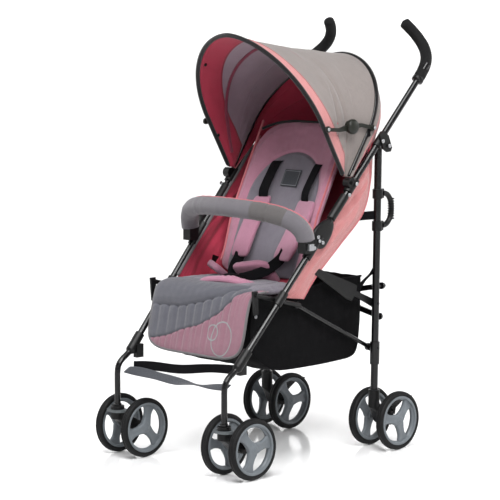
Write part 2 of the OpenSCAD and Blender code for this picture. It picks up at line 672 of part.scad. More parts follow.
module front_tube_left() { on_side(1) front_tube(); }
module front_tube_right() { on_side(-1) front_tube(); }
module handle_grip_left() { on_side(1) handle_grip(); }
module handle_grip_right() { on_side(-1) handle_grip(); }
module hub_plate_left() { on_side(1) hub_plate(); }
module hub_plate_right() { on_side(-1) hub_plate(); }
module hood_clamp_left() { on_side(1) hood_clamp(); }
module hood_clamp_right() { on_side(-1) hood_clamp(); }
module bumper_mount_left() { on_side(1) bumper_mount(); }
module bumper_mount_right() { on_side(-1) bumper_mount(); }
module foot_joint_left() { on_side(1) foot_joint(); }
module foot_joint_right() { on_side(-1) foot_joint(); }
module caster_stem_left() { on_side(1) caster_stem(); }
module caster_stem_right() { on_side(-1) caster_stem(); }
module seat_rail_left() { on_side(1) seat_rail(); }
module seat_rail_right() { on_side(-1) seat_rail(); }
module rear_leg_left() { on_side(1) rear_leg(); }
module rear_leg_right() { on_side(-1) rear_leg(); }
module axle_housing_left() { on_side(1) axle_housing(); }
module axle_housing_right() { on_side(-1) axle_housing(); }
module brake_pedal_left() { on_side(1) brake_pedal(); }
module brake_pedal_right() { on_side(-1) brake_pedal(); }
module side_brace_left() { on_side(1) side_brace(); }
module side_brace_right() { on_side(-1) side_brace(); }
module strut_left() { on_side(1) strut(); }
module strut_right() { on_side(-1) strut(); }
module caster_housing_left() { on_side(1) caster_housing(); }
module caster_housing_right() { on_side(-1) caster_housing(); }
module swivel_lock_left() { on_side(1) swivel_lock(); }
module swivel_lock_right() { on_side(-1) swivel_lock(); }
module wheel_front_left_outer() { wheel_at(1, front_axle[0], 1); }
module wheel_front_left_inner() { wheel_at(1, front_axle[0], -1); }
module wheel_front_right_outer() { wheel_at(-1, front_axle[0], 1); }
module wheel_front_right_inner() { wheel_at(-1, front_axle[0], -1); }
module wheel_rear_left_outer() { wheel_at(1, rear_axle[0], 1); }
module wheel_rear_left_inner() { wheel_at(1, rear_axle[0], -1); }
module wheel_rear_right_outer() { wheel_at(-1, rear_axle[0], 1); }
module wheel_rear_right_inner() { wheel_at(-1, rear_axle[0], -1); }
module knuckle_rear_left() { on_side(1) knuckle_rear(); }
module knuckle_rear_right() { on_side(-1) knuckle_rear(); }
module knuckle_front_left() { on_side(1) knuckle_front(); }
module knuckle_front_right() { on_side(-1) knuckle_front(); }

front_tube_left();
front_tube_right();
handle_grip_left();
handle_grip_right();
hub_plate_left();
hub_plate_right();
hood_clamp_left();
hood_clamp_right();
bumper_mount_left();
bumper_mount_right();
foot_joint_left();
foot_joint_right();
caster_stem_left();
caster_stem_right();
seat_rail_left();
seat_rail_right();
rear_leg_left();
rear_leg_right();
axle_housing_left();
axle_housing_right();
brake_pedal_left();
brake_pedal_right();
side_brace_left();
side_brace_right();
strut_left();
strut_right();
caster_housing_left();
caster_housing_right();
swivel_lock_left();
swivel_lock_right();
wheel_front_left_outer();
wheel_front_left_inner();
wheel_front_right_outer();
wheel_front_right_inner();
wheel_rear_left_outer();
wheel_rear_left_inner();
wheel_rear_right_outer();
wheel_rear_right_inner();
cross_bar_a();
cross_bar_b();
cross_pivot();
hood_bow_front();
hood_bow_rear();
canopy_mid();
canopy_rear();
knuckle_rear_left();
knuckle_rear_right();
knuckle_front_left();
knuckle_front_right();
seat_cover();
back_pad();
calf_rest();
basket();
bumper_bar();
bumper_latch();
harness();
buckle();
buckle_button();
foot_straps();
carry_handle();
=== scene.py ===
# Baby stroller: fabrics, foam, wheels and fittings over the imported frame
import time
import bmesh
import bpy
import numpy as np
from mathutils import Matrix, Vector
from math import pi, radians, sin, cos


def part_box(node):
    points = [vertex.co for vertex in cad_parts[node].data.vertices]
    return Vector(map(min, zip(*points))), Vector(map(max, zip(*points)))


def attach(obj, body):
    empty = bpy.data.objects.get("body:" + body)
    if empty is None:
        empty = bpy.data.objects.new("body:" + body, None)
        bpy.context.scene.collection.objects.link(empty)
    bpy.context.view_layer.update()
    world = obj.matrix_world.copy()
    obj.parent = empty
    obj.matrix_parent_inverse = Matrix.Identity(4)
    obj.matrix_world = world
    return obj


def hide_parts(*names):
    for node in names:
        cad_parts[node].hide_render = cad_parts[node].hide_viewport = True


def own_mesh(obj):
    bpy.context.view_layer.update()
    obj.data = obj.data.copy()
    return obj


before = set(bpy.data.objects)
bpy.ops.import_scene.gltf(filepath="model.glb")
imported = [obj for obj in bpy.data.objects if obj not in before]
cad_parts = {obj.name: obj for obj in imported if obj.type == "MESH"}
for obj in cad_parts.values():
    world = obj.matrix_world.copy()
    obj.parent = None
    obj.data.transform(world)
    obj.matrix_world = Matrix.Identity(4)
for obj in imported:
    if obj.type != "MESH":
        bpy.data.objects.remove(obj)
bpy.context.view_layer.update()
yMid = 55.6475  # the driving points below are in millimetres, before the model is centred

print("stage: camera and light")
cameraFacts = {"place": (4.185, -4.2086, 1.228), "back": (0.7071, -0.6969, 0.1201), "lens": 169.23}


def at(x, y, z):
    # millimetres of the driving sketch to metres of the row frame; x, y and z may be arrays
    x, y, z = np.broadcast_arrays(np.asarray(x, float), np.asarray(y, float), np.asarray(z, float))
    return np.stack([x, y - yMid, z], -1) / 1000


def unit(v):
    # v / |v|
    v = np.asarray(v, float)
    return v / np.linalg.norm(v, axis=-1, keepdims=True)


def smoothstep(a, b, x):
    # t = (x - a) / (b - a) held in 0 to 1, then t^2 (3 - 2 t)
    t = np.clip((x - a) / (b - a), 0, 1)
    return t * t * (3 - 2 * t)


def ripple(x, y, scale, seed, octaves=3):
    # soft repeatable unevenness: a sum of sines whose directions and phases come from the seed
    rng = np.random.default_rng(seed)
    total = np.zeros(np.broadcast(x, y).shape)
    for k in range(octaves):
        for _ in range(4):
            a, p, f = rng.uniform(0, 2 * pi), rng.uniform(0, 2 * pi), 2 ** k * rng.uniform(0.7, 1.3)
            total = total + np.sin((x * cos(a) + y * sin(a)) * 2 * pi * f / scale + p) / (4 * 1.6 ** k)
    return total


cam = bpy.data.objects.new("Camera", bpy.data.cameras.new("Camera"))
bpy.context.scene.collection.objects.link(cam)
cam.location = cameraFacts["place"]
cam.rotation_mode = "QUATERNION"
cam.rotation_quaternion = (-Vector(cameraFacts["back"])).to_track_quat("-Z", "Y")
cam.data.lens, cam.data.sensor_width = cameraFacts["lens"], 36.0
cam.data.clip_end = 100
bpy.context.scene.camera = cam


def newMaterial(name):
    # an empty node material with its shader and an output
    m = bpy.data.materials.new(name)
    m.use_nodes = True
    m.node_tree.nodes.clear()
    out = m.node_tree.nodes.new("ShaderNodeOutputMaterial")
    shader = m.node_tree.nodes.new("ShaderNodeBsdfPrincipled")
    m.node_tree.links.new(shader.outputs[0], out.inputs[0])
    return m, m.node_tree, shader


def node(tree, kind, **values):
    # one shader node with its inputs set
    n = tree.nodes.new("ShaderNode" + kind)
    for k, v in values.items():
        if k in n.inputs:
            n.inputs[k].default_value = v
        else:
            setattr(n, k, v)
    return n


def mathNode(tree, operation, a, b=None):
    # a and b through one arithmetic operation
    n = node(tree, "Math", operation=operation)
    for i, v in enumerate((a, b)):
        if v is None:
            continue
        if isinstance(v, (int, float)):
            n.inputs[i].default_value = v
        else:
            tree.links.new(v, n.inputs[i])
    return n.outputs[0]


def noiseNode(tree, vector, scale, detail=3.0, rough=0.55):
    # fractal noise of the given scale along vector
    n = node(tree, "TexNoise", Scale=scale, Detail=detail, Roughness=rough)
    tree.links.new(vector, n.inputs["Vector"])
    return n.outputs["Fac"]


def mixColour(tree, fac, a, b):
    # a (1 - fac) + b fac
    n = tree.nodes.new("ShaderNodeMix")
    n.data_type = "RGBA"
    n.clamp_factor = True
    for i, v in ((0, fac), (6, a), (7, b)):
        if isinstance(v, tuple):
            n.inputs[i].default_value = v if len(v) == 4 else (*v, 1)
        elif isinstance(v, (int, float)):
            n.inputs[i].default_value = v
        else:
            tree.links.new(v, n.inputs[i])
    return n.outputs[2]


def rampNode(tree, fac, low, high):
    # (fac - low) / (high - low), held in 0 to 1
    n = node(tree, "MapRange")
    n.inputs["From Min"].default_value, n.inputs["From Max"].default_value = low, high
    tree.links.new(fac, n.inputs["Value"])
    return n.outputs["Result"]


def bumpNode(tree, height, strength, distance, onto=None):
    # height turned into a tilt of the normal, added onto an earlier one
    n = node(tree, "Bump", Strength=strength, Distance=distance)
    tree.links.new(height, n.inputs["Height"])
    if onto is not None:
        tree.links.new(onto, n.inputs["Normal"])
    return n.outputs["Normal"]


def dim(c, k):
    # each channel times k, at most 1
    return tuple(min(1.0, x * k) for x in c[:3])


clothFacts = {"thread": 0.0011, "bump": 0.0004, "variation": 0.16, "sheen": 0.25, "roughness": 0.86}


def weaveHeight(tree, pitch):
    # crossing threads over and under, from the piece's own UV in metres; the two runs are out of step
    uv = tree.nodes.new("ShaderNodeUVMap")
    split = tree.nodes.new("ShaderNodeSeparateXYZ")
    tree.links.new(uv.outputs[0], split.inputs[0])
    k = 2 * pi / pitch
    u = mathNode(tree, "MULTIPLY", split.outputs[0], k)
    v = mathNode(tree, "MULTIPLY", split.outputs[1], k)
    warp = mathNode(tree, "ABSOLUTE", mathNode(tree, "SINE", mathNode(tree, "MULTIPLY", u, 0.5)))
    weft = mathNode(tree, "ABSOLUTE", mathNode(tree, "SINE", mathNode(tree, "MULTIPLY", v, 0.5)))
    twill = mathNode(tree, "SINE", mathNode(tree, "ADD", mathNode(tree, "MULTIPLY", u, 0.5), mathNode(tree, "MULTIPLY", v, 0.5)))
    over = mathNode(tree, "MULTIPLY", mathNode(tree, "ADD", twill, 1.0), 0.5)
    mixed = mathNode(tree, "ADD", mathNode(tree, "MULTIPLY", warp, over),
                     mathNode(tree, "MULTIPLY", weft, mathNode(tree, "SUBTRACT", 1.0, over)))
    return mixed, uv.outputs[0]


def wovenCloth(name, colour, zones=(), crease=0.35, sheen=None):
    # zones: (attribute, colour) pairs; where the attribute is above zero the cloth has that colour
    m, t, s = newMaterial(name)
    coord = t.nodes.new("ShaderNodeTexCoord").outputs["Object"]
    threads, uv = weaveHeight(t, clothFacts["thread"])
    fine = noiseNode(t, coord, 420.0, 2.0)
    slub = noiseNode(t, coord, 70.0, 4.0, 0.65)
    broad = noiseNode(t, coord, 7.0, 3.0)
    base = (*colour, 1)
    for attribute, other in zones:
        a = node(t, "Attribute", attribute_name=attribute)
        base = mixColour(t, rampNode(t, a.outputs["Fac"], -0.0004, 0.0004), base, (*other, 1))
    shade = mathNode(t, "ADD", mathNode(t, "MULTIPLY", slub, 0.55), mathNode(t, "MULTIPLY", broad, 0.45))
    shade = rampNode(t, shade, 0.25, 0.75)
    k = clothFacts["variation"]
    mult = t.nodes.new("ShaderNodeMix")
    mult.data_type, mult.blend_type = "RGBA", "MULTIPLY"
    mult.inputs[0].default_value = 1.0
    tone = mixColour(t, shade, (1 - k, 1 - k, 1 - k, 1), (1 + k * 0.5, 1 + k * 0.5, 1 + k * 0.5, 1))
    if isinstance(base, tuple):
        mult.inputs[6].default_value = base
    else:
        t.links.new(base, mult.inputs[6])
    t.links.new(tone, mult.inputs[7])
    # painted shade: the colour is darkened towards 0.62 where the thread height is low, in the hollows between the
    # threads
    paintedGapShade = mixColour(t, rampNode(t, threads, 0.15, 0.65), (0.62, 0.6, 0.6, 1), (1.06, 1.06, 1.06, 1))
    woven = t.nodes.new("ShaderNodeMix")
    woven.data_type, woven.blend_type = "RGBA", "MULTIPLY"
    woven.inputs[0].default_value = 0.8
    t.links.new(mult.outputs[2], woven.inputs[6])
    t.links.new(paintedGapShade, woven.inputs[7])
    t.links.new(woven.outputs[2], s.inputs["Base Color"])
    t.links.new(rampNode(t, slub, -3.0, 1.1), s.inputs["Roughness"])
    first = bumpNode(t, noiseNode(t, coord, 16.0, 4.0, 0.5), crease, 0.006)
    second = bumpNode(t, slub, 0.35, 0.0008, first)
    third = bumpNode(t, threads, 0.5, clothFacts["bump"], second)
    t.links.new(bumpNode(t, fine, 0.25, 0.0002, third), s.inputs["Normal"])
    s.inputs["Sheen Weight"].default_value = clothFacts["sheen"] if sheen is None else sheen
    s.inputs["Sheen Roughness"].default_value = 0.5
    s.inputs["Specular IOR Level"].default_value = 0.25 if max(colour) > 0.02 else 0.08
    return m


def powderCoat(name, colour, roughness=0.22):
    # glossy paint: orange peel, a little dust in the recesses and fine scuffs
    m, t, s = newMaterial(name)
    coord = t.nodes.new("ShaderNodeTexCoord").outputs["Object"]
    peel = noiseNode(t, coord, 900.0, 2.0)
    wear = noiseNode(t, coord, 55.0, 6.0, 0.7)
    dust = noiseNode(t, coord, 9.0, 3.0)
    colourOut = mixColour(t, rampNode(t, wear, 0.62, 0.86), (*colour, 1), (*dim(colour, 2.4), 1))
    t.links.new(colourOut, s.inputs["Base Color"])
    rough = mathNode(t, "ADD", mathNode(t, "MULTIPLY", rampNode(t, dust, 0.3, 0.7), 0.12),
                     mathNode(t, "ADD", mathNode(t, "MULTIPLY", rampNode(t, wear, 0.5, 0.85), 0.16), roughness - 0.06))
    t.links.new(rough, s.inputs["Roughness"])
    t.links.new(bumpNode(t, peel, 0.12, 0.0003), s.inputs["Normal"])
    s.inputs["Coat Weight"].default_value = 0.12
    s.inputs["Specular IOR Level"].default_value = 0.32
    s.inputs["Coat Roughness"].default_value = 0.12
    return m


def mouldedPlastic(name, colour, roughness=0.42, grain=0.3):
    # spark-eroded grain, slightly uneven gloss, pale handling marks
    m, t, s = newMaterial(name)
    coord = t.nodes.new("ShaderNodeTexCoord").outputs["Object"]
    pits = node(t, "TexVoronoi", Scale=1500.0)
    t.links.new(coord, pits.inputs["Vector"])
    rub = noiseNode(t, coord, 38.0, 5.0, 0.65)
    broad = noiseNode(t, coord, 6.0, 2.0)
    base = mixColour(t, rampNode(t, rub, 0.55, 0.85), (*colour, 1), (*dim(colour, 1.7), 1))
    base = mixColour(t, mathNode(t, "MULTIPLY", rampNode(t, broad, 0.3, 0.7), 0.35), base, (*dim(colour, 0.7), 1))
    t.links.new(base, s.inputs["Base Color"])
    t.links.new(mathNode(t, "ADD", mathNode(t, "MULTIPLY", rub, 0.25), roughness - 0.12), s.inputs["Roughness"])
    t.links.new(bumpNode(t, pits.outputs["Distance"], grain, 0.00025), s.inputs["Normal"])
    s.inputs["Specular IOR Level"].default_value = 0.25
    return m


def foamRubber(name, colour):
    # fine closed cells: small noise in colour and bump
    m, t, s = newMaterial(name)
    coord = t.nodes.new("ShaderNodeTexCoord").outputs["Object"]
    cells = node(t, "TexVoronoi", Scale=620.0)
    t.links.new(coord, cells.inputs["Vector"])
    broad = noiseNode(t, coord, 30.0, 4.0)
    t.links.new(mixColour(t, rampNode(t, broad, 0.35, 0.75), (*colour, 1), (*dim(colour, 1.9), 1)), s.inputs["Base Color"])
    t.links.new(rampNode(t, broad, -1.5, 1.1), s.inputs["Roughness"])
    first = bumpNode(t, broad, 0.3, 0.001)
    t.links.new(bumpNode(t, cells.outputs["Distance"], 0.55, 0.0006, first), s.inputs["Normal"])
    s.inputs["Specular IOR Level"].default_value = 0.2
    return m


def tyreRubber(name, colour):
    # fine moulded lines round the tread and a dusty crown, from the tyre's own UV (turn, section)
    m, t, s = newMaterial(name)
    uv = t.nodes.new("ShaderNodeUVMap")
    split = t.nodes.new("ShaderNodeSeparateXYZ")
    t.links.new(uv.outputs[0], split.inputs[0])
    coord = t.nodes.new("ShaderNodeTexCoord").outputs["Object"]
    cross = mathNode(t, "SINE", mathNode(t, "MULTIPLY", split.outputs[0], 2 * pi / 0.006))
    along = mathNode(t, "SINE", mathNode(t, "MULTIPLY", split.outputs[1], 2 * pi / 0.0045))
    tread = mathNode(t, "MULTIPLY", cross, along)
    dust = noiseNode(t, coord, 45.0, 5.0, 0.65)
    t.links.new(mixColour(t, rampNode(t, dust, 0.5, 0.85), (*colour, 1), (*dim(colour, 3.2), 1)), s.inputs["Base Color"])
    t.links.new(rampNode(t, dust, -0.6, 1.1), s.inputs["Roughness"])
    first = bumpNode(t, tread, 0.35, 0.0005)
    t.links.new(bumpNode(t, noiseNode(t, coord, 800.0, 2.0), 0.2, 0.0002, first), s.inputs["Normal"])
    s.inputs["Specular IOR Level"].default_value = 0.22
    return m


def zincSteel(name):
    # bright plated metal with slight streaks
    m, t, s = newMaterial(name)
    coord = t.nodes.new("ShaderNodeTexCoord").outputs["Object"]
    spangle = noiseNode(t, coord, 300.0, 4.0)
    t.links.new(mixColour(t, spangle, (0.3, 0.31, 0.32, 1), (0.5, 0.5, 0.52, 1)), s.inputs["Base Color"])
    t.links.new(rampNode(t, spangle, -0.3, 1.6), s.inputs["Roughness"])
    t.links.new(bumpNode(t, spangle, 0.15, 0.0002), s.inputs["Normal"])
    s.inputs["Metallic"].default_value = 1.0
    return m


colours = {
    "taupe": (0.205, 0.178, 0.168), "pink": (0.5, 0.2, 0.2), "crimson": (0.36, 0.03, 0.06),
    "mauve": (0.4, 0.185, 0.255), "padPink": (0.36, 0.165, 0.235), "lilac": (0.15, 0.138, 0.165),
    "slate": (0.085, 0.086, 0.104), "wave": (0.235, 0.115, 0.15), "lining": (0.26, 0.19, 0.23),
    "piping": (0.12, 0.115, 0.12), "black": (0.0035, 0.0035, 0.004), "label": (0.018, 0.022, 0.028),
    "reflect": (0.23, 0.26, 0.26), "bar": (0.125, 0.117, 0.13)}
print("stage: materials")
taupeCloth = wovenCloth("taupeCloth", colours["taupe"])
pinkCloth = wovenCloth("pinkCloth", colours["pink"])
crimsonCloth = wovenCloth("crimsonCloth", colours["crimson"], sheen=0.1)
liningCloth = wovenCloth("liningCloth", colours["lining"])
padCloth = wovenCloth("padCloth", colours["padPink"])
seatCloth = wovenCloth("seatCloth", colours["lilac"])
backCloth = wovenCloth("backCloth", colours["mauve"], [("centreZone", colours["lilac"])])
calfCloth = wovenCloth("calfCloth", colours["slate"], [("waveZone", colours["wave"]), ("ringZone", colours["reflect"])])
barCloth = wovenCloth("barCloth", colours["bar"], [("patchZone", (0.095, 0.088, 0.088))])
pipingCloth = wovenCloth("pipingCloth", colours["piping"], crease=0.1)
pinkPiping = wovenCloth("pinkPiping", (0.5, 0.14, 0.16), crease=0.1)
darkPiping = wovenCloth("darkPiping", (0.01, 0.009, 0.01), crease=0.1)
blackCloth = wovenCloth("blackCloth", colours["black"], crease=0.6, sheen=0.0)
webbing = wovenCloth("webbing", (0.005, 0.005, 0.006), crease=0.05, sheen=0.0)
slateWebbing = wovenCloth("slateWebbing", (0.04, 0.045, 0.055), crease=0.1)
labelCloth = wovenCloth("labelCloth", colours["label"], [("labelLine", (0.2, 0.21, 0.23))], crease=0.05)
tubePaint = powderCoat("tubePaint", (0.0022, 0.0022, 0.0025))
blackPlastic = mouldedPlastic("blackPlastic", (0.0032, 0.0032, 0.0035), 0.4)
olivePlastic = mouldedPlastic("olivePlastic", (0.011, 0.012, 0.009), 0.38)
rimPlastic = mouldedPlastic("rimPlastic", (0.13, 0.145, 0.158), 0.36, 0.15)
lockPlastic = mouldedPlastic("lockPlastic", (0.09, 0.1, 0.105), 0.42)
gripFoam = foamRubber("gripFoam", (0.003, 0.003, 0.0032))
tyreBlack = tyreRubber("tyreBlack", (0.003, 0.003, 0.0034))
rivetSteel = zincSteel("rivetSteel")


def build(name, verts, faces, material, uv=None, smooth=True):
    # verts (n, 3) in metres, faces as an array of quads; uv (n, 2) in metres goes to every corner
    mesh = bpy.data.meshes.new(name)
    mesh.from_pydata(np.asarray(verts, float).tolist(), [], np.asarray(faces).tolist())
    if uv is not None:
        layer = mesh.uv_layers.new(name="UVMap")
        corner = np.zeros(len(mesh.loops), np.int32)
        mesh.loops.foreach_get("vertex_index", corner)
        layer.data.foreach_set("uv", np.asarray(uv, float)[corner].ravel())
    mesh.polygons.foreach_set("use_smooth", np.full(len(mesh.polygons), smooth))
    mesh.update()
    obj = bpy.data.objects.new(name, mesh)
    bpy.context.scene.collection.objects.link(obj)
    for m in (material if isinstance(material, (list, tuple)) else [material]):
        obj.data.materials.append(m)
    return obj


def quadsOf(nu, nv, closeU=False, closeV=False):
    # cells of an (nu, nv) grid of points, wrapped where it closes
    iu = np.arange(nu if closeU else nu - 1)
    iv = np.arange(nv if closeV else nv - 1)
    a, b = np.meshgrid(iu, iv, indexing="ij")
    a1, b1 = (a + 1) % nu, (b + 1) % nv
    return np.stack([a * nv + b, a1 * nv + b, a1 * nv + b1, a * nv + b1], -1).reshape(-1, 4)


def arcUv(points):
    # distances along both ways of a grid, in metres, so that the weave keeps its size
    du = np.linalg.norm(np.diff(points, axis=0), axis=-1).mean(1)
    dv = np.linalg.norm(np.diff(points, axis=1), axis=-1).mean(0)
    u, v = np.r_[0, np.cumsum(du)], np.r_[0, np.cumsum(dv)]
    return np.stack(np.meshgrid(u, v, indexing="ij"), -1)


def gridSheet(name, points, material, thickness=0.0014, lining=None, flip=False):
    # one curved sheet over an (nu, nv, 3) grid, given a wall on its inner side
    nu, nv = points.shape[:2]
    quads = quadsOf(nu, nv)
    if flip:
        quads = quads[:, ::-1]
    obj = build(name, points.reshape(-1, 3), quads, [material, lining or material], arcUv(points).reshape(-1, 2))
    wall = obj.modifiers.new("wall", "SOLIDIFY")
    wall.thickness, wall.offset = thickness, -1
    wall.material_offset = 1
    return obj


def setZone(obj, name, values):
    # one value for each point of the mesh, as a named attribute
    a = obj.data.attributes.new(name, "FLOAT", "POINT")
    a.data.foreach_set("value", np.asarray(values, np.float32).ravel())


def tube(name, path, radius, material, sides=16, flat=1.0, ref=(0, 0, 1), closed=False):
    # a round or oval section carried along a path; the section's tall way leans towards ref
    path = np.asarray(path, float)
    n = len(path)
    if closed:
        t = unit(np.roll(path, -1, 0) - np.roll(path, 1, 0))
    else:
        t = unit(np.gradient(path, axis=0))
    side = unit(np.cross(t, np.asarray(ref, float)))
    up = np.cross(side, t)
    r = np.broadcast_to(np.asarray(radius, float), (n,))
    a = np.arange(sides) * 2 * pi / sides
    ring = (path[:, None] + side[:, None] * (r[:, None] * np.cos(a))[..., None]
            + up[:, None] * (r[:, None] * flat * np.sin(a))[..., None])
    run = np.r_[0, np.cumsum(np.linalg.norm(np.diff(path, axis=0), axis=-1))]
    uv = np.stack(np.meshgrid(run, a * float(r.mean()), indexing="ij"), -1).reshape(-1, 2)
    verts, quads = ring.reshape(-1, 3), quadsOf(n, sides, closed, True)
    faces = quads.tolist()
    if not closed:
        verts = np.vstack([verts, path[:1] - t[:1] * r[0] * 0.25, path[-1:] + t[-1:] * r[-1] * 0.25])
        uv = np.vstack([uv, [[0, 0]], [[run[-1], 0]]])
        k = np.arange(sides)
        faces += np.stack([np.full(sides, n * sides), (k + 1) % sides, k], 1).tolist()
        faces += np.stack([np.full(sides, n * sides + 1), (n - 1) * sides + k, (n - 1) * sides + (k + 1) % sides], 1).tolist()
    mesh = bpy.data.meshes.new(name)
    mesh.from_pydata(verts.tolist(), [], faces)
    layer = mesh.uv_layers.new(name="UVMap")
    corner = np.zeros(len(mesh.loops), np.int32)
    mesh.loops.foreach_get("vertex_index", corner)
    layer.data.foreach_set("uv", uv[corner].ravel())
    mesh.polygons.foreach_set("use_smooth", np.full(len(mesh.polygons), True))
    fixNormals(mesh)
    obj = bpy.data.objects.new(name, mesh)
    bpy.context.scene.collection.objects.link(obj)
    obj.data.materials.append(material)
    return obj


def fixNormals(mesh):
    # merge doubles, then turn every face outwards
    b = bmesh.new()
    b.from_mesh(mesh)
    bmesh.ops.remove_doubles(b, verts=b.verts, dist=1e-6)
    bmesh.ops.recalc_face_normals(b, faces=b.faces)
    b.to_mesh(mesh)
    b.free()
    mesh.update()


def bezier(p, n):
    # (1-t)^3 p0 + 3 (1-t)^2 t p1 + 3 (1-t) t^2 p2 + t^3 p3
    t = np.linspace(0, 1, n)[:, None]
    p = [np.asarray(q, float) for q in p]
    return (1 - t) ** 3 * p[0] + 3 * (1 - t) ** 2 * t * p[1] + 3 * (1 - t) * t * t * p[2] + t ** 3 * p[3]


def through(points, n):
    # a smooth path through given points (Catmull-Rom), as n points
    p = np.asarray(points, float)
    p = np.vstack([2 * p[0] - p[1], p, 2 * p[-1] - p[-2]])
    s = np.linspace(0, len(p) - 3 - 1e-9, n)
    i = s.astype(int)
    t = (s - i)[:, None]
    a, b, c, d = p[i], p[i + 1], p[i + 2], p[i + 3]
    return 0.5 * (2 * b + (c - a) * t + (2 * a - 5 * b + 4 * c - d) * t ** 2 + (3 * b - a - 3 * c + d) * t ** 3)


def cushion(name, width, length, plane, crown, belly, material, pinch=0.05, edge=0.5, nu=70, nv=90, dent=None, corner=6.0,
        cornerTop=None):
    # crowned closed pad: a rounded-rectangle plan (superellipse of power corner) with sides that pull in
    # by pinch between the corners; the thickness falls to zero at the rim as (1 - d) ** edge.
    # plane(a, b) gives a point and its outward normal for a across and b along, both -1 to 1.
    a, b = np.meshgrid(np.linspace(-1, 1, nu), np.linspace(-1, 1, nv), indexing="ij")
    k = corner + ((cornerTop or corner) - corner) * smoothstep(-0.3, 0.5, b)  # the far end may be squarer or rounder
    a2 = a * (1 - np.abs(b) ** k / 2) ** (1 / k)
    b2 = b * (1 - np.abs(a) ** k / 2) ** (1 / k)
    a2 = a2 * (1 - pinch * (1 - b ** 2)) if pinch else a2
    base, normal = plane(a2 * width, b2 * length)
    d = (1 - a ** 8) ** edge * (1 - b ** 8) ** edge
    top = crown * d * (0.82 + 0.18 * (1 - a ** 2) * (1 - b ** 2))
    if dent is not None:
        top = top + dent(a2 * width, b2 * length) * d
    upper = base + normal * top[..., None]
    lower = base - normal * (belly * d)[..., None]
    uv = np.stack([a2 * width, b2 * length], -1).reshape(-1, 2)
    quads = quadsOf(nu, nv)
    n = nu * nv
    obj = build(name, np.vstack([upper.reshape(-1, 3), lower.reshape(-1, 3)]),
                np.vstack([quads, quads[:, ::-1] + n]), material, np.vstack([uv, uv]))
    fixNormals(obj.data)
    return obj, (a2 * width, b2 * length)


def finishPiece(obj, body, nodes=(), fold=None, levels=0):
    # subdivision, body and replaced nodes of a finished piece; a fold value only gives it its own copy of the mesh
    if levels:
        s = obj.modifiers.new("soft", "SUBSURF")
        s.levels = s.render_levels = levels
    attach(obj, body)
    if nodes:
        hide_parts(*nodes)
    if fold:
        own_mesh(obj)
    return obj


def applyModifiers(obj):
    # the evaluated mesh takes the place of the plain one
    dg = bpy.context.evaluated_depsgraph_get()
    mesh = bpy.data.meshes.new_from_object(obj.evaluated_get(dg), preserve_all_data_layers=True, depsgraph=dg)
    obj.modifiers.clear()
    obj.data = mesh
    return obj


print("stage: hood")
hoodFacts = {"pivot": (105.5, 692.52), "frontTurn": -30.2, "rearTurn": 33.0, "frontRise": 422.0, "rearRise": 370.0,
             "half": 204.0, "flat": 0.4, "tailTurn": 47.0, "tailRise": 312.0, "split": 0.68, "band": 46.0,
             "sag": 7.0}


def archPoint(u, half, top):
    # straight sides over the first and last fifth of u, a flattened half ellipse between them
    k = top * hoodFacts["flat"]
    a = np.clip((u - 0.2) / 0.6, 0, 1) * pi
    c = np.cos(a)
    x = half * np.sign(c) * np.abs(c) ** 1.12
    h = k + (top - k) * np.sin(a)
    h = np.where(u < 0.2, k * u / 0.2, np.where(u > 0.8, k * (1 - u) / 0.2, h))
    return x, h


def hoopPoint(u, turn, half, top):
    # an arch whose plane leans by turn degrees behind the vertical through the hood's pivot
    x, h = archPoint(u, half, top)
    y0, z0 = hoodFacts["pivot"]
    return np.stack([x, y0 + h * sin(radians(turn)), z0 + h * cos(radians(turn))], -1)


def canopyPoint(u, v, grow=0.0):
    # taut between the bows: a straight line from hoop to hoop, sagging a little in the middle, with soft folds
    h = hoodFacts
    a = hoopPoint(u, h["frontTurn"], h["half"] + grow, h["frontRise"] + grow)
    b = hoopPoint(u, h["rearTurn"], h["half"] + grow, h["rearRise"] + grow)
    p = a + (b - a) * v[..., None]
    x, top = archPoint(u, 1.0, 1.0)
    mid = np.stack([x, np.zeros_like(x), np.maximum(top, 0.05)], -1)
    outward = unit(mid)
    fold = ripple(u * 900, v * 420, 210, 5) * 2.6 + np.sin(v * 5 * pi + 3 * np.sin(u * 9)) * 1.1 * smoothstep(0.3, 0.8, v)
    creases = -5.5 * np.exp(-((v - 0.42 - 0.5 * (u - 0.24)) / 0.02) ** 2) * smoothstep(0.14, 0.2,
            u) * (1 - smoothstep(0.26, 0.36, u))
    creases = creases - 5.0 * np.exp(-((v - 0.56 + 0.35 * (u - 0.2)) / 0.025) ** 2) * smoothstep(0.1, 0.2,
            u) * (1 - smoothstep(0.3, 0.42, u))
    edge = np.sin(pi * np.clip(v, 0, 1))
    return p + outward * ((-h["sag"] * edge + (fold + creases) * edge))[..., None]


def tailPoint(u, v, grow=0.0):
    # a + (b - a) v from the rear hoop to the tail hoop, puffed outwards by 10 sin(pi v) mm
    h = hoodFacts
    a = hoopPoint(u, h["rearTurn"], h["half"] + grow, h["rearRise"] + grow)
    b = hoopPoint(u, h["tailTurn"], h["half"] - 4 + grow, h["tailRise"] + grow)
    p = a + (b - a) * v[..., None]
    x, top = archPoint(u, 1.0, 1.0)
    outward = unit(np.stack([x, np.full_like(x, 0.6), np.maximum(top, 0.05)], -1))
    puff = 10 * np.sin(pi * v) + ripple(u * 700, v * 120, 90, 8) * 1.2 * np.sin(pi * np.clip(v * 0.8, 0, 1))
    return p + outward * puff[..., None]


def mmToRow(p):
    # (p - (0, yMid, 0)) / 1000
    return (p - np.array([0, yMid, 0])) / 1000


archCount = 150
uArch = 0.022 + 0.956 * np.linspace(0, 1, archCount)
frontLine = hoopPoint(uArch, hoodFacts["frontTurn"], hoodFacts["half"], hoodFacts["frontRise"])
rearLine = hoopPoint(uArch, hoodFacts["rearTurn"], hoodFacts["half"], hoodFacts["rearRise"])
chord = np.linalg.norm(rearLine - frontLine, axis=-1)
bandEdge = np.minimum(hoodFacts["band"] / chord, 0.5)


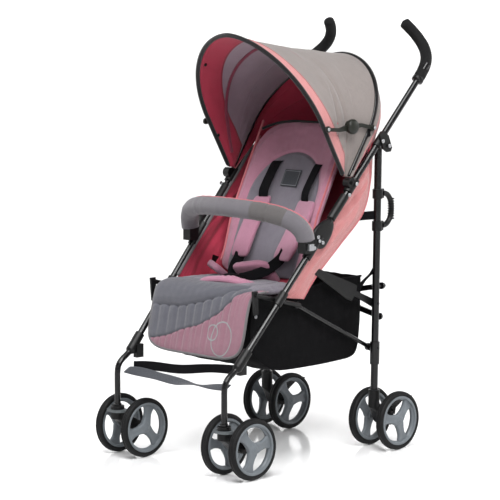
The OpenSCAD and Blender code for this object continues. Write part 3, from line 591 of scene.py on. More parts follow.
def sector(low, high, count):
    # rows of v between two limits that may change along the arch
    s = np.linspace(0, 1, count)
    v = np.broadcast_to(np.asarray(low), (archCount,))[:, None] * (1 - s) + np.broadcast_to(np.asarray(high), (archCount,))[:,
            None] * s
    return np.repeat(uArch[:, None], count, 1), v


hoodKeep = 0.53
u, v = sector(0.0, bandEdge + 0.004, 12)
bandPoints = mmToRow(canopyPoint(u, v, 1.2))
hoodBand = gridSheet("hood_band", bandPoints, pinkCloth, 0.0022, crimsonCloth, flip=True)
u, v = sector(bandEdge, hoodFacts["split"], 60)
midPoints = mmToRow(canopyPoint(u, v))
hoodPanel = gridSheet("hood_panel", midPoints, taupeCloth, 0.0016, liningCloth, flip=True)
u, v = sector(hoodFacts["split"] - 0.004, 1.0, 30)
rearPoints = mmToRow(canopyPoint(u, v))
hoodRear = gridSheet("hood_rear", rearPoints, taupeCloth, 0.0016, liningCloth, flip=True)
u, v = sector(0.0, 0.42, 14)
stripPoints = mmToRow(tailPoint(u, v))
hoodStrip = gridSheet("hood_strip", stripPoints, taupeCloth, 0.0016, crimsonCloth, flip=True)
u, v = sector(0.42, 1.0, 18)
tailPoints = mmToRow(tailPoint(u, v))
hoodTail = gridSheet("hood_tail", tailPoints, pinkCloth, 0.0016, crimsonCloth, flip=True)
for obj, pts, body, nodes, name in ((hoodBand, bandPoints, "hood", (), "cloth_pink"),
        (hoodPanel, midPoints, "hood_mid", ("canopy_mid",), "cloth_taupe"),
                              (hoodRear, rearPoints, "seat", ("canopy_rear",), "cloth_taupe"),
                (hoodStrip, stripPoints, "seat", (), "cloth_taupe"),
                              (hoodTail, tailPoints, "seat", (), "cloth_pink")):
    applyModifiers(obj)
    finishPiece(obj, body, nodes, hoodKeep)

# lining facing behind the front bow: a crimson band wider than the outer one
u, v = sector(0.012, np.minimum(bandEdge * 1.75, 0.96), 10)
facing = gridSheet("hood_facing", mmToRow(canopyPoint(u, v, -2.8)), crimsonCloth, 0.001)
applyModifiers(facing)
mmToRow(canopyPoint(u, v, -2.8))
finishPiece(facing, "hood", (), hoodKeep)


def pipe(name, points, radius, material, body, keep=None, sides=10, ref=(0, 0, 1)):
    # a round tube of fixed radius along points, joined to a body
    obj = tube(name, points, radius, material, sides, ref=ref)
    finishPiece(obj, body, (), keep)
    return obj


pipe("hood_front_sleeve", mmToRow(hoopPoint(np.linspace(0.03, 0.97, 160), -30.2, 204.6, 422.6)), 0.0058, darkPiping, "hood",
        keep=hoodKeep, ref=(0, 1, 0.01))
pipe("hood_rear_piping", mmToRow(hoopPoint(np.linspace(0.05, 0.95, 160), 33.4, 207.5, 373.5)), 0.0028, darkPiping, "seat",
        keep=hoodKeep, ref=(0, 1, 0.01))
u, v = uArch[:, None], (bandEdge + 0.001)[:, None]
# the seam tube wears the band's pink dimmed to 0.75: painted shade along the seam
pipe("hood_band_seam", mmToRow(canopyPoint(u, v, 1.6))[:, 0], 0.0011,
        wovenCloth("bandSeamPaintedShade", dim(colours["pink"], 0.75), crease=0.1), "hood", keep=hoodKeep, ref=(0, 1, 0.01))
# dark sleeve of one inner bow, seen from below
for k, vAt in enumerate((0.36,)):
    u, v = np.linspace(0.08, 0.92, 130)[:, None], np.full((130, 1), vAt)
    pipe(f"hood_inner_sleeve_{k}", mmToRow(canopyPoint(u, v, -4.5))[:, 0], 0.0042,
            wovenCloth("sleeveCloth", (0.16, 0.02, 0.045)), "hood_mid", hoodKeep, ref=(0, 1, 0.01))


def ribbon(name, points, width, thickness, across, material, body, keep=None):
    # flat webbing: a centre path and a direction across it, as a thin closed band with rounded edges
    points, across = np.asarray(points, float), unit(across)
    across = np.broadcast_to(across, points.shape)
    t = unit(np.gradient(points, axis=0))
    normal = unit(np.cross(t, across))
    s = np.linspace(0, 2 * pi, 14, endpoint=False)
    cx, cz = np.sign(np.cos(s)) * np.abs(np.cos(s)) ** 0.4, np.sign(np.sin(s)) * np.abs(np.sin(s)) ** 0.6
    ring = points[:, None] + across[:, None] * (cx * width / 2)[:, None] + normal[:, None] * (cz * thickness / 2)[:, None]
    n = len(points)
    run = np.r_[0, np.cumsum(np.linalg.norm(np.diff(points, axis=0), axis=-1))]
    uv = np.stack(np.meshgrid(run, cx * width / 2, indexing="ij"), -1).reshape(-1, 2)
    faces = quadsOf(n, 14, False, True).tolist() + [list(range(14)), list(range((n - 1) * 14, n * 14))]
    mesh = bpy.data.meshes.new(name)
    mesh.from_pydata(ring.reshape(-1, 3).tolist(), [], faces)
    layer = mesh.uv_layers.new(name="UVMap")
    corner = np.zeros(len(mesh.loops), np.int32)
    mesh.loops.foreach_get("vertex_index", corner)
    layer.data.foreach_set("uv", uv[corner].ravel())
    mesh.polygons.foreach_set("use_smooth", np.full(len(mesh.polygons), True))
    fixNormals(mesh)
    obj = bpy.data.objects.new(name, mesh)
    bpy.context.scene.collection.objects.link(obj)
    obj.data.materials.append(material)
    return finishPiece(obj, body, (), keep)


# small tag on the rear piping of the left side and two snap buttons inside the front edge
tagAt = hoopPoint(np.array([0.2]), 33.0, 208, 372)[0]
ribbon("hood_tag", at(np.full(6, 210.5), tagAt[1] - 4, tagAt[2] + np.linspace(14, -14, 6)), 0.011, 0.0016, (0, 1, 0.4),
        webbing, "seat", keep=hoodKeep)


def dome(name, places, directions, radius, height, material, body, keep=None):
    # rivet heads: a flattened half ball over a short rim on each place, facing its direction
    k, m = 7, 16
    t = np.linspace(0, pi / 2, k)
    prof = np.stack([np.r_[radius, radius * np.cos(t) ** 0.9], np.r_[0, height * (0.35 + 0.65 * np.sin(t))]], -1)
    a = np.arange(m) * 2 * pi / m
    allV, allF = [], []
    for p, d in zip(places, directions):
        d = unit(d)
        s = unit(np.cross(d, (0.3, 0.2, 0.93)))
        w = np.cross(d, s)
        ring = (np.asarray(p)[None, None] + d * prof[:, 1][:, None, None]
                + (s * np.cos(a)[:, None] + w * np.sin(a)[:, None])[None] * prof[:, 0][:, None, None])
        base = sum(len(x) for x in allV)
        allV.append(ring.reshape(-1, 3))
        allF.append(quadsOf(len(prof), m, False, True) + base)
    obj = build(name, np.vstack(allV), np.vstack(allF), material)
    fixNormals(obj.data)
    return finishPiece(obj, body, (), keep)


snaps = [canopyPoint(np.array([uu]), np.array([0.05]), -4.5)[0] for uu in (0.66, 0.86)]
dome("hood_snaps", [mmToRow(p) for p in snaps], [(1, 0, -0.4), (1, 0, 0)], 0.0045, 0.0025, blackPlastic, "hood",
        hoodKeep)

print("stage: seat cover")
sideFacts = {"bulge": 9.0, "rearPath": [(-22, 410), (25, 465), (105, 537), (180, 606), (207, 680), (203, 740), (197, 777)],
             "tubeLow": 206.0, "tubeHigh": 712.0}
tubeSlope = radians(47.96)


def tubeAt(s):
    # foot of the tube + s (0.0547 cos, cos, sin) of the tube's slope
    s = np.asarray(s, float)
    return np.stack([193 + s * cos(tubeSlope) * 0.0547, -255.162 + s * cos(tubeSlope), 273.117 + s * sin(tubeSlope)], -1)


t = np.linspace(0, 1, 90)
w = np.linspace(0, 1, 64)
frontEdge = tubeAt(sideFacts["tubeLow"] + t * (sideFacts["tubeHigh"] - sideFacts["tubeLow"]))
rearEdge = through(sideFacts["rearPath"], 90)
rearX = 181 + 11 * smoothstep(0.0, 0.6, t)


def sidePoint(side):
    # front edge + (rear edge - front edge) w, with fanned creases, a drape and a gathered hem added
    f = frontEdge[:, None] * np.array([1, 1, 1]) + np.array([-10.5, 3, -2])
    r = np.stack([rearX, rearEdge[:, 0], rearEdge[:, 1]], -1)[:, None]
    p = f + (r - f) * w[None, :, None]
    T, W = np.meshgrid(t, w, indexing="ij")
    radiate = np.sin(W * 9 + 5 * T + 2.2 * np.sin(T * 7)) * 2.6 + np.sin(W * 21 + 13 * T + 1.6 * np.sin(T * 11)) * 1.1 + np.sin(T * 34 + W * 6) * 0.9 * (1 - T)
    drape = np.exp(-((T - 0.34 - 0.45 * W) / 0.035) ** 2) * 5.0 - np.exp(-((T - 0.47 - 0.3 * W) / 0.03) ** 2) * 4.6 + np.exp(-((T - 0.62 - 0.22 * W) / 0.03) ** 2) * 4.0
    low = np.exp(-(T / 0.05) ** 2) * np.sin(W * 60) * 2.2
    hem = np.sin(pi * W) ** 0.5 * np.sin(pi * np.clip(T * 1.02, 0, 1)) ** 0.5
    p[..., 0] = p[..., 0] + sideFacts["bulge"] * np.sin(pi * W) * np.sin(pi * T) + (radiate + drape) * hem + low * np.sin(pi * W)
    p[..., 0] *= side
    return mmToRow(p)


seatKeep = 0.5
for side, word in ((1, "left"), (-1, "right")):
    pts = sidePoint(side)
    panel = gridSheet(f"side_panel_{word}", pts, pinkCloth, 0.0014, crimsonCloth, flip=side > 0)
    applyModifiers(panel)
    finishPiece(panel, "seat", ("seat_cover",) if side > 0 else (), seatKeep)
    edge = pts[:, 0] + np.array([side * 0.001, 0, 0.001])
    pipe(f"side_piping_{word}", edge[4:-10], 0.0042, pipingCloth, "seat", keep=seatKeep, ref=(1, 0, 0))
    pipe(f"side_rear_seam_{word}", pts[:, -1], 0.0016, pinkPiping, "seat", seatKeep, ref=(1, 0, 0))

# the rear panel closes the bag behind the backrest from side to side
x = np.sin(np.linspace(-pi / 2, pi / 2, 110))
X, T = np.meshgrid(x, t, indexing="ij")
bow = 14 * (1 - X ** 2) * smoothstep(0.03, 0.3, T)
back = np.stack([X * rearX[None], rearEdge[:, 0][None] + bow + ripple(X * 160, T * 480, 130, 14) * 1.6 * (1 - X ** 6),
        np.broadcast_to(rearEdge[:, 1], X.shape) - bow * 0.25], -1)
# above the backrest's middle it climbs to meet the lower edge of the hood's tail
edgeTurn, edgeRise = radians(hoodFacts["tailTurn"]), hoodFacts["tailRise"]
overX = np.arccos(np.sign(x) * np.abs(x) ** (1 / 1.12))
edgeH = edgeRise * (hoodFacts["flat"] + (1 - hoodFacts["flat"]) * np.sin(overX))
edgeTop = np.stack([x * 200, hoodFacts["pivot"][0] + edgeH * sin(edgeTurn), hoodFacts["pivot"][1] + edgeH * cos(edgeTurn)], -1)
climb = np.clip((T - 0.45) / 0.55, 0, 1) ** 1.7
back = back + climb[..., None] * (edgeTop[:, None] + np.array([0, 0, 9]) - back[:, -1:])
rearPts = mmToRow(back)
rearPanel = gridSheet("rear_panel", rearPts, pinkCloth, 0.0014, crimsonCloth, flip=True)
applyModifiers(rearPanel)
finishPiece(rearPanel, "seat", (), seatKeep)

print("stage: backrest")
backFacts = {"half": 163.0, "length": 432.0, "angle": 63.5, "crown": 9.0, "belly": 16.0, "archHalf": 120.0, "archTop": 340.0,
        "archRound": 130.0, "wing": 24.0}
bAngle = radians(backFacts["angle"])
backDir, backOut = np.array([0, cos(bAngle), sin(bAngle)]), np.array([0, -sin(bAngle), cos(bAngle)])
backFoot = np.array([0, 4.0, 446.0])


def backPlane(a, b):
    # b runs up from the middle of the backrest; the wings come forward towards the tubes
    s = b + backFacts["length"] / 2
    wing = backFacts["wing"] * np.clip(np.abs(a) / backFacts["half"], 0, 1) ** 3 * smoothstep(40, 180, s)
    p = backFoot + s[..., None] * backDir + np.stack([a, 0 * a, 0 * a], -1) + wing[..., None] * backOut
    return mmToRow(p), np.broadcast_to(backOut, p.shape)


def archZone(a, b):
    # signed distance, in metres, into an arched centre panel with a round top
    s = b + backFacts["length"] / 2
    r, top, half = backFacts["archRound"], backFacts["archTop"], backFacts["archHalf"]
    straight = half - np.abs(a)
    round_ = half * (1 - np.sqrt((a / half) ** 2 + (np.clip(s - (top - r), 0, None) / r) ** 2))
    return np.where(s > top - r, round_, straight) / 1000


def backDent(a, b):
    # a seam of gaussian section, -0.0042 exp(-(d / 0.0038)^2), along the arch, with soft ripples
    seam = -0.0042 * np.exp(-(archZone(a, b) / 0.0038) ** 2)
    return seam + ripple(a, b, 150, 3) * 0.0011 + ripple(a, b, 42, 31, 2) * 0.0004


def nearestMove(points, rest, move):
    # squared distance |p|^2 + |q|^2 - 2 p.q, then the four nearest, weighted by 1 / (distance + 0.0001)
    apart = (points ** 2).sum(1)[:, None] + (rest ** 2).sum(1)[None] - 2 * points @ rest.T
    near = np.argpartition(apart, 4, axis=1)[:, :4]
    g = 1 / (np.linalg.norm(points[:, None] - rest[near], axis=2) + 1e-4)
    return (move[near] * g[..., None]).sum(1) / g.sum(1, keepdims=True)


def inflate(obj, cap=0.006, pressure=4.0, voxel=0.005):
    # remesh, let air pressure swell the cloth for twenty frames, cap how far a point moves, and carry the move
    # back: shift = sum(move * g) / sum(g) over the four nearest points, with g = 1 / (distance + 0.0001)
    start = time.time()
    scene = bpy.context.scene
    work = obj.copy()
    work.data = obj.data.copy()
    scene.collection.objects.link(work)
    rm = work.modifiers.new("even", "REMESH")
    rm.mode, rm.voxel_size, rm.use_smooth_shade = "VOXEL", voxel, True
    applyModifiers(work)
    rest = np.zeros(len(work.data.vertices) * 3)
    work.data.vertices.foreach_get("co", rest)
    rest = rest.reshape(-1, 3)
    c = work.modifiers.new("air", "CLOTH")
    c.settings.use_pressure, c.settings.uniform_pressure_force = True, pressure
    c.settings.effector_weights.gravity = 0
    c.settings.quality = 5
    c.settings.tension_stiffness = c.settings.compression_stiffness = 12
    c.settings.bending_stiffness = 0.6
    c.collision_settings.use_collision = False
    for f in range(1, 21):
        scene.frame_set(f)
    dg = bpy.context.evaluated_depsgraph_get()
    out = work.evaluated_get(dg).to_mesh()
    co = np.zeros(len(out.vertices) * 3)
    out.vertices.foreach_get("co", co)
    move = co.reshape(-1, 3) - rest
    far = np.linalg.norm(move, axis=1, keepdims=True)
    move = move * np.minimum(1, cap / np.maximum(far, 1e-9))
    src = np.zeros(len(obj.data.vertices) * 3)
    obj.data.vertices.foreach_get("co", src)
    src = src.reshape(-1, 3)
    shift = np.concatenate([nearestMove(part, rest, move) for part in np.array_split(src, len(src) // 400 + 1)])
    obj.data.vertices.foreach_set("co", (src + shift).ravel())
    obj.data.update()
    bpy.data.objects.remove(work)
    scene.frame_set(1)
    print(f"  {obj.name} swelled up to {np.linalg.norm(shift, axis=1).max() * 1000:.1f} mm in {time.time() - start:.0f} s")
    return obj


backrest, _ = cushion("backrest", backFacts["half"], backFacts["length"] / 2, backPlane, backFacts["crown"] / 1000,
                             backFacts["belly"] / 1000, backCloth, pinch=0.03, edge=0.45, nu=110, nv=150, dent=backDent,
                corner=7, cornerTop=3.6)


def zoneOf(obj, fn):
    # reads a, b back from the piece's own UV, so it holds after doubles were merged
    n = len(obj.data.vertices)
    flat = np.zeros(len(obj.data.loops) * 2, np.float32)
    obj.data.uv_layers[0].data.foreach_get("uv", flat)
    idx = np.zeros(len(obj.data.loops), np.int32)
    obj.data.loops.foreach_get("vertex_index", idx)
    per = np.zeros((n, 2))
    per[idx] = flat.reshape(-1, 2)
    return fn(per[:, 0], per[:, 1])


def scaleUv(obj, k):
    # uv times k
    flat = np.zeros(len(obj.data.loops) * 2, np.float32)
    obj.data.uv_layers[0].data.foreach_get("uv", flat)
    obj.data.uv_layers[0].data.foreach_set("uv", flat * k)


setZone(backrest, "centreZone", zoneOf(backrest, archZone))
scaleUv(backrest, 0.001)
inflate(backrest, 0.004)
finishPiece(backrest, "backrest", ("back_pad",), seatKeep)


def onBack(a, s, lift):
    # foot + s up the back + a across + (wing |a / half|^3 + lift) out of it
    a, s = np.broadcast_arrays(np.asarray(a, float), np.asarray(s, float))
    wing = backFacts["wing"] * np.clip(np.abs(a) / backFacts["half"], 0, 1) ** 3 * smoothstep(40, 180, s)
    return mmToRow(backFoot + s[..., None] * backDir + np.stack([a, 0 * a, 0 * a], -1) + (wing + lift)[..., None] * backOut)


edgeA = np.linspace(-1, 1, 80)
topRow = onBack(edgeA * 146, backFacts["length"] - 5 - 34 * np.abs(edgeA) ** 3.6, np.full(80, 3.0))
pipe("backrest_piping", topRow, 0.0036, darkPiping, "backrest", keep=seatKeep, ref=(0, -0.9, 0.45))
for side, word in ((1, "left"), (-1, "right")):
    sLine = np.linspace(30, backFacts["length"] - 16, 70)
    pipe(f"backrest_side_piping_{word}", onBack(np.full(70, side * 150.0), sLine, np.full(70, 4.0)), 0.0028, pinkPiping,
            "backrest", seatKeep, ref=(1, 0, 0))

# plain patch on the centre panel, with a stitched border and no lettering
lab = np.stack(np.meshgrid(np.linspace(-29, 29, 30), np.linspace(-23, 23, 26), indexing="ij"), -1)
labPts = onBack(lab[..., 0] + 10, lab[..., 1] + 266, np.full(lab.shape[:2], backFacts["crown"] + 6.2))
label = gridSheet("label_patch", labPts, labelCloth, 0.0012, flip=True)
border = 1.0 - np.abs(np.maximum(np.abs(lab[..., 0]) - 25.5, np.abs(lab[..., 1]) - 19.5))
setZone(label, "labelLine", (border - 0.3) / 1000)
applyModifiers(label)
finishPiece(label, "backrest", (), seatKeep)


def alongPath(points, across=(1, 0, 0), count=200):
    # a plane(a, b) for a pad laid along a path of millimetre points: b runs along it, a goes across
    path = through(points, count)
    run = np.r_[0, np.cumsum(np.linalg.norm(np.diff(path, axis=0), axis=-1))]
    half = run[-1] / 2
    across = unit(across)
    tangent = unit(np.gradient(path, axis=0))

    def plane(a, b):
        # path at s + a across + (b + half - s) along, and its normal across x along
        s = np.clip(b + half, 0, 2 * half)
        p = np.stack([np.interp(s, run, path[:, k]) for k in range(3)], -1)
        t = unit(np.stack([np.interp(s, run, tangent[:, k]) for k in range(3)], -1))
        n = unit(np.cross(across, t))
        return mmToRow(p + across * a[..., None] + t * (b + half - s)[..., None]), n
    return plane, half


def pad(name, points, half, crown, belly, material, body, nodes=(), slotName="cloth_pink", keep=None, across=(1, 0, 0),
        dent=None, fill=0.6, swell=0.0, **shape):
    # a crowned cushion of fixed half width bent along points
    plane, length = alongPath(points, across)
    obj, _ = cushion(name, half, length, plane, crown / 1000, belly / 1000, material, dent=dent, **shape)
    scaleUv(obj, 0.001)
    if swell:
        inflate(obj, swell)
    return finishPiece(obj, body, nodes, keep)


print("stage: seat")
seatFacts = {"half": 166.0, "crown": 12.0, "belly": 9.0}


def seatDent(a, b):
    # two long seams of gaussian section at |a| = 108 mm, with soft ripples
    return (-0.004 * np.exp(-((np.abs(a) - 108) / 4.0) ** 2) + ripple(a, b, 120, 21) * 0.0012 + ripple(a, b, 38, 22, 2) * 0.0004)


pad("seat_cushion", [(0, -166, 430), (0, -120, 432), (0, -60, 431), (0, -8, 434)], seatFacts["half"], seatFacts["crown"],
        seatFacts["belly"], seatCloth,
    "seat", ("seat_cover",), "cloth_grey", seatKeep, dent=seatDent, swell=0.005, nu=90, nv=70, corner=9, edge=0.4, pinch=0.02)

print("stage: harness")
def padDent(a, b):
    # ripples less a seam of gaussian section at |a| = 20 mm
    return ripple(a, b, 70, 51) * 0.0012 - 0.0016 * np.exp(-((np.abs(a) - 20) / 2.0) ** 2)


pad("shoulder_pad_left", [(97, 80, 641), (101, 50, 597), (98, 20, 550), (88, -8, 496)], 38, 9, 6, padCloth, "backrest",
        ("harness",),
    keep=seatKeep, across=(1, -0.22, 0.02), dent=padDent, nu=48, nv=90, corner=8, edge=0.35, pinch=0.03)
pad("shoulder_pad_right", [(-60, 82, 643), (-62, 50, 596), (-60, 14, 542), (-58, -10, 494)], 28, 9, 6, padCloth, "backrest",
    keep=seatKeep, across=(1, 0.1, 0.05), dent=padDent, nu=48, nv=90, corner=8, edge=0.35, pinch=0.03)


def onBackRaw(s, lift):
    # foot + s along the back + lift off it
    p = backFoot + s * backDir + lift * backOut
    return (0, p[1], p[2])


def strap(name, points, width, across, material=None, body="backrest", nodes=(), keep=seatKeep, thick=2.0, count=50):
    # a flat ribbon of webbing on a smooth curve through points
    obj = ribbon(name, mmToRow(through(points, count)), width / 1000, thick / 1000, across, material or webbing, body,
            keep)
    if nodes:
        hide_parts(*nodes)
    return obj


for name, x0, lean in (("left", 89, -0.22), ("right", -58, 0.1)):
    line = [onBackRaw(312, 8), onBackRaw(304, 19), onBackRaw(270, 25), onBackRaw(225, 29), (0, 76, 634), (0, 66, 618)]
    strap(f"shoulder_strap_{name}", [(x0 + 3 - 0.8 * k, p[1], p[2]) for k, p in enumerate(line)], 31, (1, lean, 0))
strap("lap_strap_left", [(90, 2, 516), (84, -8, 497), (64, -36, 472), (36, -62, 458), (16, -74, 452)], 27, (-0.42, -0.28, 0.85))
strap("lap_strap_right", [(-58, -6, 502), (-56, -16, 488), (-44, -40, 474), (-28, -64, 456), (-14, -74, 452)], 27,
        (-0.46, -0.43, 0.35))
strap("crotch_strap", [(0, -132, 452), (0, -114, 459), (0, -96, 463), (0, -84, 463)], 26, (1, 0, 0), body="seat")
pad("hip_pad_left", [(72, -12, 466), (42, -28, 466), (10, -38, 461), (-24, -46, 454)], 36, 13, 9, padCloth, "seat",
        keep=seatKeep, across=(0.1, 0.62, -0.78),
    dent=lambda a, b: ripple(a, b, 48, 61) * 0.0034, nu=44, nv=70, corner=7, edge=0.38)
pad("hip_pad_right", [(-140, -22, 466), (-116, -34, 464), (-92, -44, 460), (-74, -50, 456)], 25, 11, 7, padCloth, "seat",
        keep=seatKeep, across=(0.1, 0.78, -0.62),
    dent=lambda a, b: ripple(a, b, 55, 62) * 0.0026, nu=44, nv=60, corner=4, edge=0.5)
pad("crotch_pad", [(84, -96, 438), (44, -110, 444), (0, -120, 444), (-48, -128, 436)], 36, 13, 6, padCloth, "seat",
        keep=seatKeep, across=(0.25, 0.9, -0.25),
    dent=lambda a, b: ripple(a, b, 50, 63) * 0.0034, nu=48, nv=70, corner=7, edge=0.38)

# the side straps that hold the backrest to the rear legs
for side, word in ((1, "left"), (-1, "right")):
    strap(f"recline_strap_{word}", [(side * 158, 160, 596), (side * 172, 184, 599), (side * 186, 206, 601),
            (side * 197, 221, 602)], 22, (0, 0.15, 1), body="seat", count=24)

print("stage: calf rest")
calfFacts = {"half": 171.0, "crown": 7.0, "belly": 6.0, "gather": 31.0, "depth": 4.2, "ring": 1.5}
calfPath = [(0, -229, 276), (0, -223, 305), (0, -214, 345), (0, -205, 385), (0, -197, 412), (0, -190, 425), (0, -174, 434),
        (0, -148, 437), (0, -122, 438)]
rollAt = np.array([(-170, 379), (-158, 383), (-65, 386), (6, 402), (82, 426), (120, 437), (172, 446)], float)
waveAt = np.array([(-175, 298), (-158, 301), (-89, 313), (6, 346), (82, 389), (125, 428), (172, 470)], float)
calfPlane, calfHalf = alongPath(calfPath)
calfRun = through(calfPath, 200)
calfDist = np.r_[0, np.cumsum(np.linalg.norm(np.diff(calfRun, axis=0), axis=-1))]


def distOfHeight(z):
    # distance along the calf run at height z, from its middle
    return np.interp(z, calfRun[:, 2], calfDist) - calfHalf


def waveZone(a, b):
    # 0.9 (wave line at a - b - 3 sin(a / 30)) / 1000
    return (np.interp(b * 0 + a, waveAt[:, 0], distOfHeight(np.minimum(waveAt[:, 1], 447))) - b - 3 * np.sin(a / 30)) * 0.9 / 1000


def rollZone(a, b):
    # 0.95 (b - roll line at a) / 1000
    return (b - np.interp(a, rollAt[:, 0], distOfHeight(rollAt[:, 1]))) * 0.95 / 1000


def ringZone(a, b):
    # signed distance to the lines of two plain overlapping ovals
    total = np.full(np.shape(a), -1.0)
    for ca, cz, ra, rz in ((98, 322, 34, 42), (66, 334, 17, 19)):
        cb = distOfHeight(cz)
        q = np.sqrt(((a - ca) / ra) ** 2 + ((b - cb) / rz) ** 2)
        total = np.maximum(total, calfFacts["ring"] - np.abs(q - 1) * (ra + rz) / 2)
    return total / 1000


def calfDent(a, b):
    # upright gathers under the roll seam and along the wave seam, fading away from each
    under = np.clip(-rollZone(a, b) * 1000, 0, 200)
    gatherAt = a / calfFacts["gather"] * 2 * pi + 0.9 * np.sin(a / 41) + 0.5 * np.sin(b / 60)
    gathers = -np.abs(np.sin(gatherAt / 2)) ** 5 * np.exp(-under / 90) * (under > 0.1) * 0.001 * calfFacts["depth"]
    low = -np.abs(np.sin(a / 21 * pi + 1.2)) ** 6 * np.exp(-np.clip(waveZone(a, b) * 1000, 0, 200) / 45) * (waveZone(a,
            b) > 0) * 0.0036
    seams = -0.0030 * np.exp(-(rollZone(a, b) / 0.0035) ** 2) - 0.0024 * np.exp(-(waveZone(a, b) / 0.0028) ** 2)
    roll = 0.006 * smoothstep(0.0, 0.02, rollZone(a, b))
    rings = 0.0004 * smoothstep(-0.0006, 0.0006, ringZone(a, b))
    return gathers + low + seams + roll + rings + ripple(a, b, 90, 71) * 0.0009


calfRest, _ = cushion("calf_rest_cover", calfFacts["half"], calfHalf, calfPlane, calfFacts["crown"] / 1000,
        calfFacts["belly"] / 1000, calfCloth,
                         nu=200, nv=150, dent=calfDent, corner=5.5, cornerTop=22, edge=0.42, pinch=0.015)
setZone(calfRest, "waveZone", zoneOf(calfRest, waveZone))
setZone(calfRest, "ringZone", zoneOf(calfRest, ringZone))
scaleUv(calfRest, 0.001)
finishPiece(calfRest, "calf", ("calf_rest",), seatKeep)
# grey piping round the sides and the lower edge, on the rim of the cushion
rim = np.linspace(0, 1, 240)
ra = np.interp(rim, [0, 0.28, 0.72, 1], [-1, -1, 1, 1])
rb = np.interp(rim, [0, 0.28, 0.72, 1], [0.86, -1, -1, 0.86])
k = 5.5 + 16.5 * smoothstep(-0.3, 0.5, rb)
ra2, rb2 = ra * (1 - np.abs(rb) ** k / 2) ** (1 / k), rb * (1 - np.abs(ra) ** k / 2) ** (1 / k)
rimPoint, _ = calfPlane(ra2 * (1 - 0.015 * (1 - rb ** 2)) * calfFacts["half"], rb2 * calfHalf)
pipe("calf_rest_piping", rimPoint, 0.0034, pipingCloth, "calf", keep=seatKeep, ref=(0, -0.97, 0.2))

print("stage: bumper bar")
bumperFacts = {"end": (206.19, -41.09, 566.5), "radius": 23.0, "patch": (0.16, 0.33)}
e = np.array(bumperFacts["end"])
halfBar = bezier([e + (0, 1.5, -10), e + (2, -8, 58), (120, e[1] - 72, e[2] + 64), (0, e[1] - 76, e[2] + 66)], 120)
barPath = np.vstack([halfBar, (halfBar[:-1] * np.array([-1, 1, 1]))[::-1]])
run = np.r_[0, np.cumsum(np.linalg.norm(np.diff(barPath, axis=0), axis=-1))]
run = run / run[-1]
even = np.linspace(0, 1, 260)
barPath = np.stack([np.interp(even, run, barPath[:, k]) for k in range(3)], -1)
low, high = bumperFacts["patch"]
seamAt = [low, (low + high) / 2 + 0.004, high, 1 - low]
barR = bumperFacts["radius"] - sum(1.3 * np.exp(-((even - q) / 0.003) ** 2) for q in seamAt)
barR = barR * np.clip(np.minimum(even, 1 - even) / 0.008, 0.0, 1) ** 0.35 + 0.4 * ripple(even * 900, even * 0, 60, 81, 2)
bar = tube("bumper_cover", mmToRow(barPath), np.maximum(barR, 4) / 1000, barCloth, 40, flat=1.0, ref=(0, 0.35, 1))
flatUv = zoneOf(bar, lambda a, b: a)
total = flatUv.max()
setZone(bar, "patchZone", (np.minimum(flatUv / total - low, high - flatUv / total)) * total)
finishPiece(bar, "bumper", ("bumper_bar",))
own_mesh(bar)
t = unit(np.gradient(barPath, axis=0))
sideways = unit(np.cross(t, (0, 0.35, 1)))
upper = np.cross(sideways, t)
pinkLine = barPath + (upper * 0.99 - sideways * 0.12) * (barR[:, None] + 0.4)
line = pipe("bumper_piping", mmToRow(pinkLine[5:-5]), 0.0018, pinkPiping, "bumper", ref=(0, 1, 0.1))
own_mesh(line)

print("stage: basket")
basketFacts = {"half": 156.0}
outline = through([(-164, 430), (-178, 392), (-181, 330), (-170, 284), (-132, 254), (-86, 236), (20, 233), (120, 235),
        (178, 240), (200, 258), (208, 300), (212, 350), (214, 444)], 110)
bx = np.linspace(-1, 1, 90)
X, S = np.meshgrid(bx, np.linspace(0, 1, 110), indexing="ij")
inner = np.abs(X) ** 12
centre = np.array([20.0, 420.0])
yz = outline[None] + (centre - outline)[None] * (0.035 * inner)[..., None]
pts = np.stack([X * basketFacts["half"], yz[..., 0] + ripple(X * 150, S * 700, 110, 91) * 1.7 * (1 - X ** 8),
                np.maximum(yz[..., 1] + ripple(X * 150, S * 700, 90, 92) * 1.5 * (1 - X ** 8) * (S > 0.1), 232.6)], -1)
floorSheet = gridSheet("basket_shell", mmToRow(pts), blackCloth, 0.0016)
applyModifiers(floorSheet)
finishPiece(floorSheet, "seat", ("basket",), seatKeep)
topLine = through([(-164, 430), (-110, 420), (-30, 424), (80, 440), (214, 444)], 110)
for side, word in ((1, "left"), (-1, "right")):
    R = np.linspace(0, 1, 50)
    G = outline[:, None] + (topLine - outline)[:, None] * R[None, :, None]
    puff = np.sin(pi * R)[None] ** 0.8 * np.sin(pi * np.linspace(0, 1, 110))[:, None] ** 0.8
    xs = basketFacts["half"] + 4 * puff + (ripple(G[..., 0], G[..., 1], 105,
            95) * 2.4 + 2.2 * np.sin((G[..., 0] * 0.7 + G[..., 1]) / 17)) * puff
    pts = np.stack([side * xs, G[..., 0], G[..., 1]], -1)
    wall = gridSheet(f"basket_side_{word}", mmToRow(pts), blackCloth, 0.0016, flip=side < 0)
    applyModifiers(wall)
    finishPiece(wall, "seat", (), seatKeep)
    hem = np.stack([np.full(110, side * (basketFacts["half"] + 0.5)), topLine[:, 0], topLine[:, 1]], -1)
    pipe(f"basket_hem_{word}", mmToRow(hem), 0.003, webbing, "seat", seatKeep, ref=(1, 0, 0))
    strap(f"basket_hanger_{word}", [(side * 157, 196, 400), (side * 166, 212, 430), (side * 182, 226, 452),
            (side * 196, 226, 470)], 20, (0.2, 1, 0.3), body="seat", keep=seatKeep)
    strap(f"basket_front_hanger_{word}", [(side * 157, -150, 420), (side * 165, -150, 432), (side * 172, -152, 436)], 18,
            (0, 1, 0.2), body="seat", keep=seatKeep, count=20)

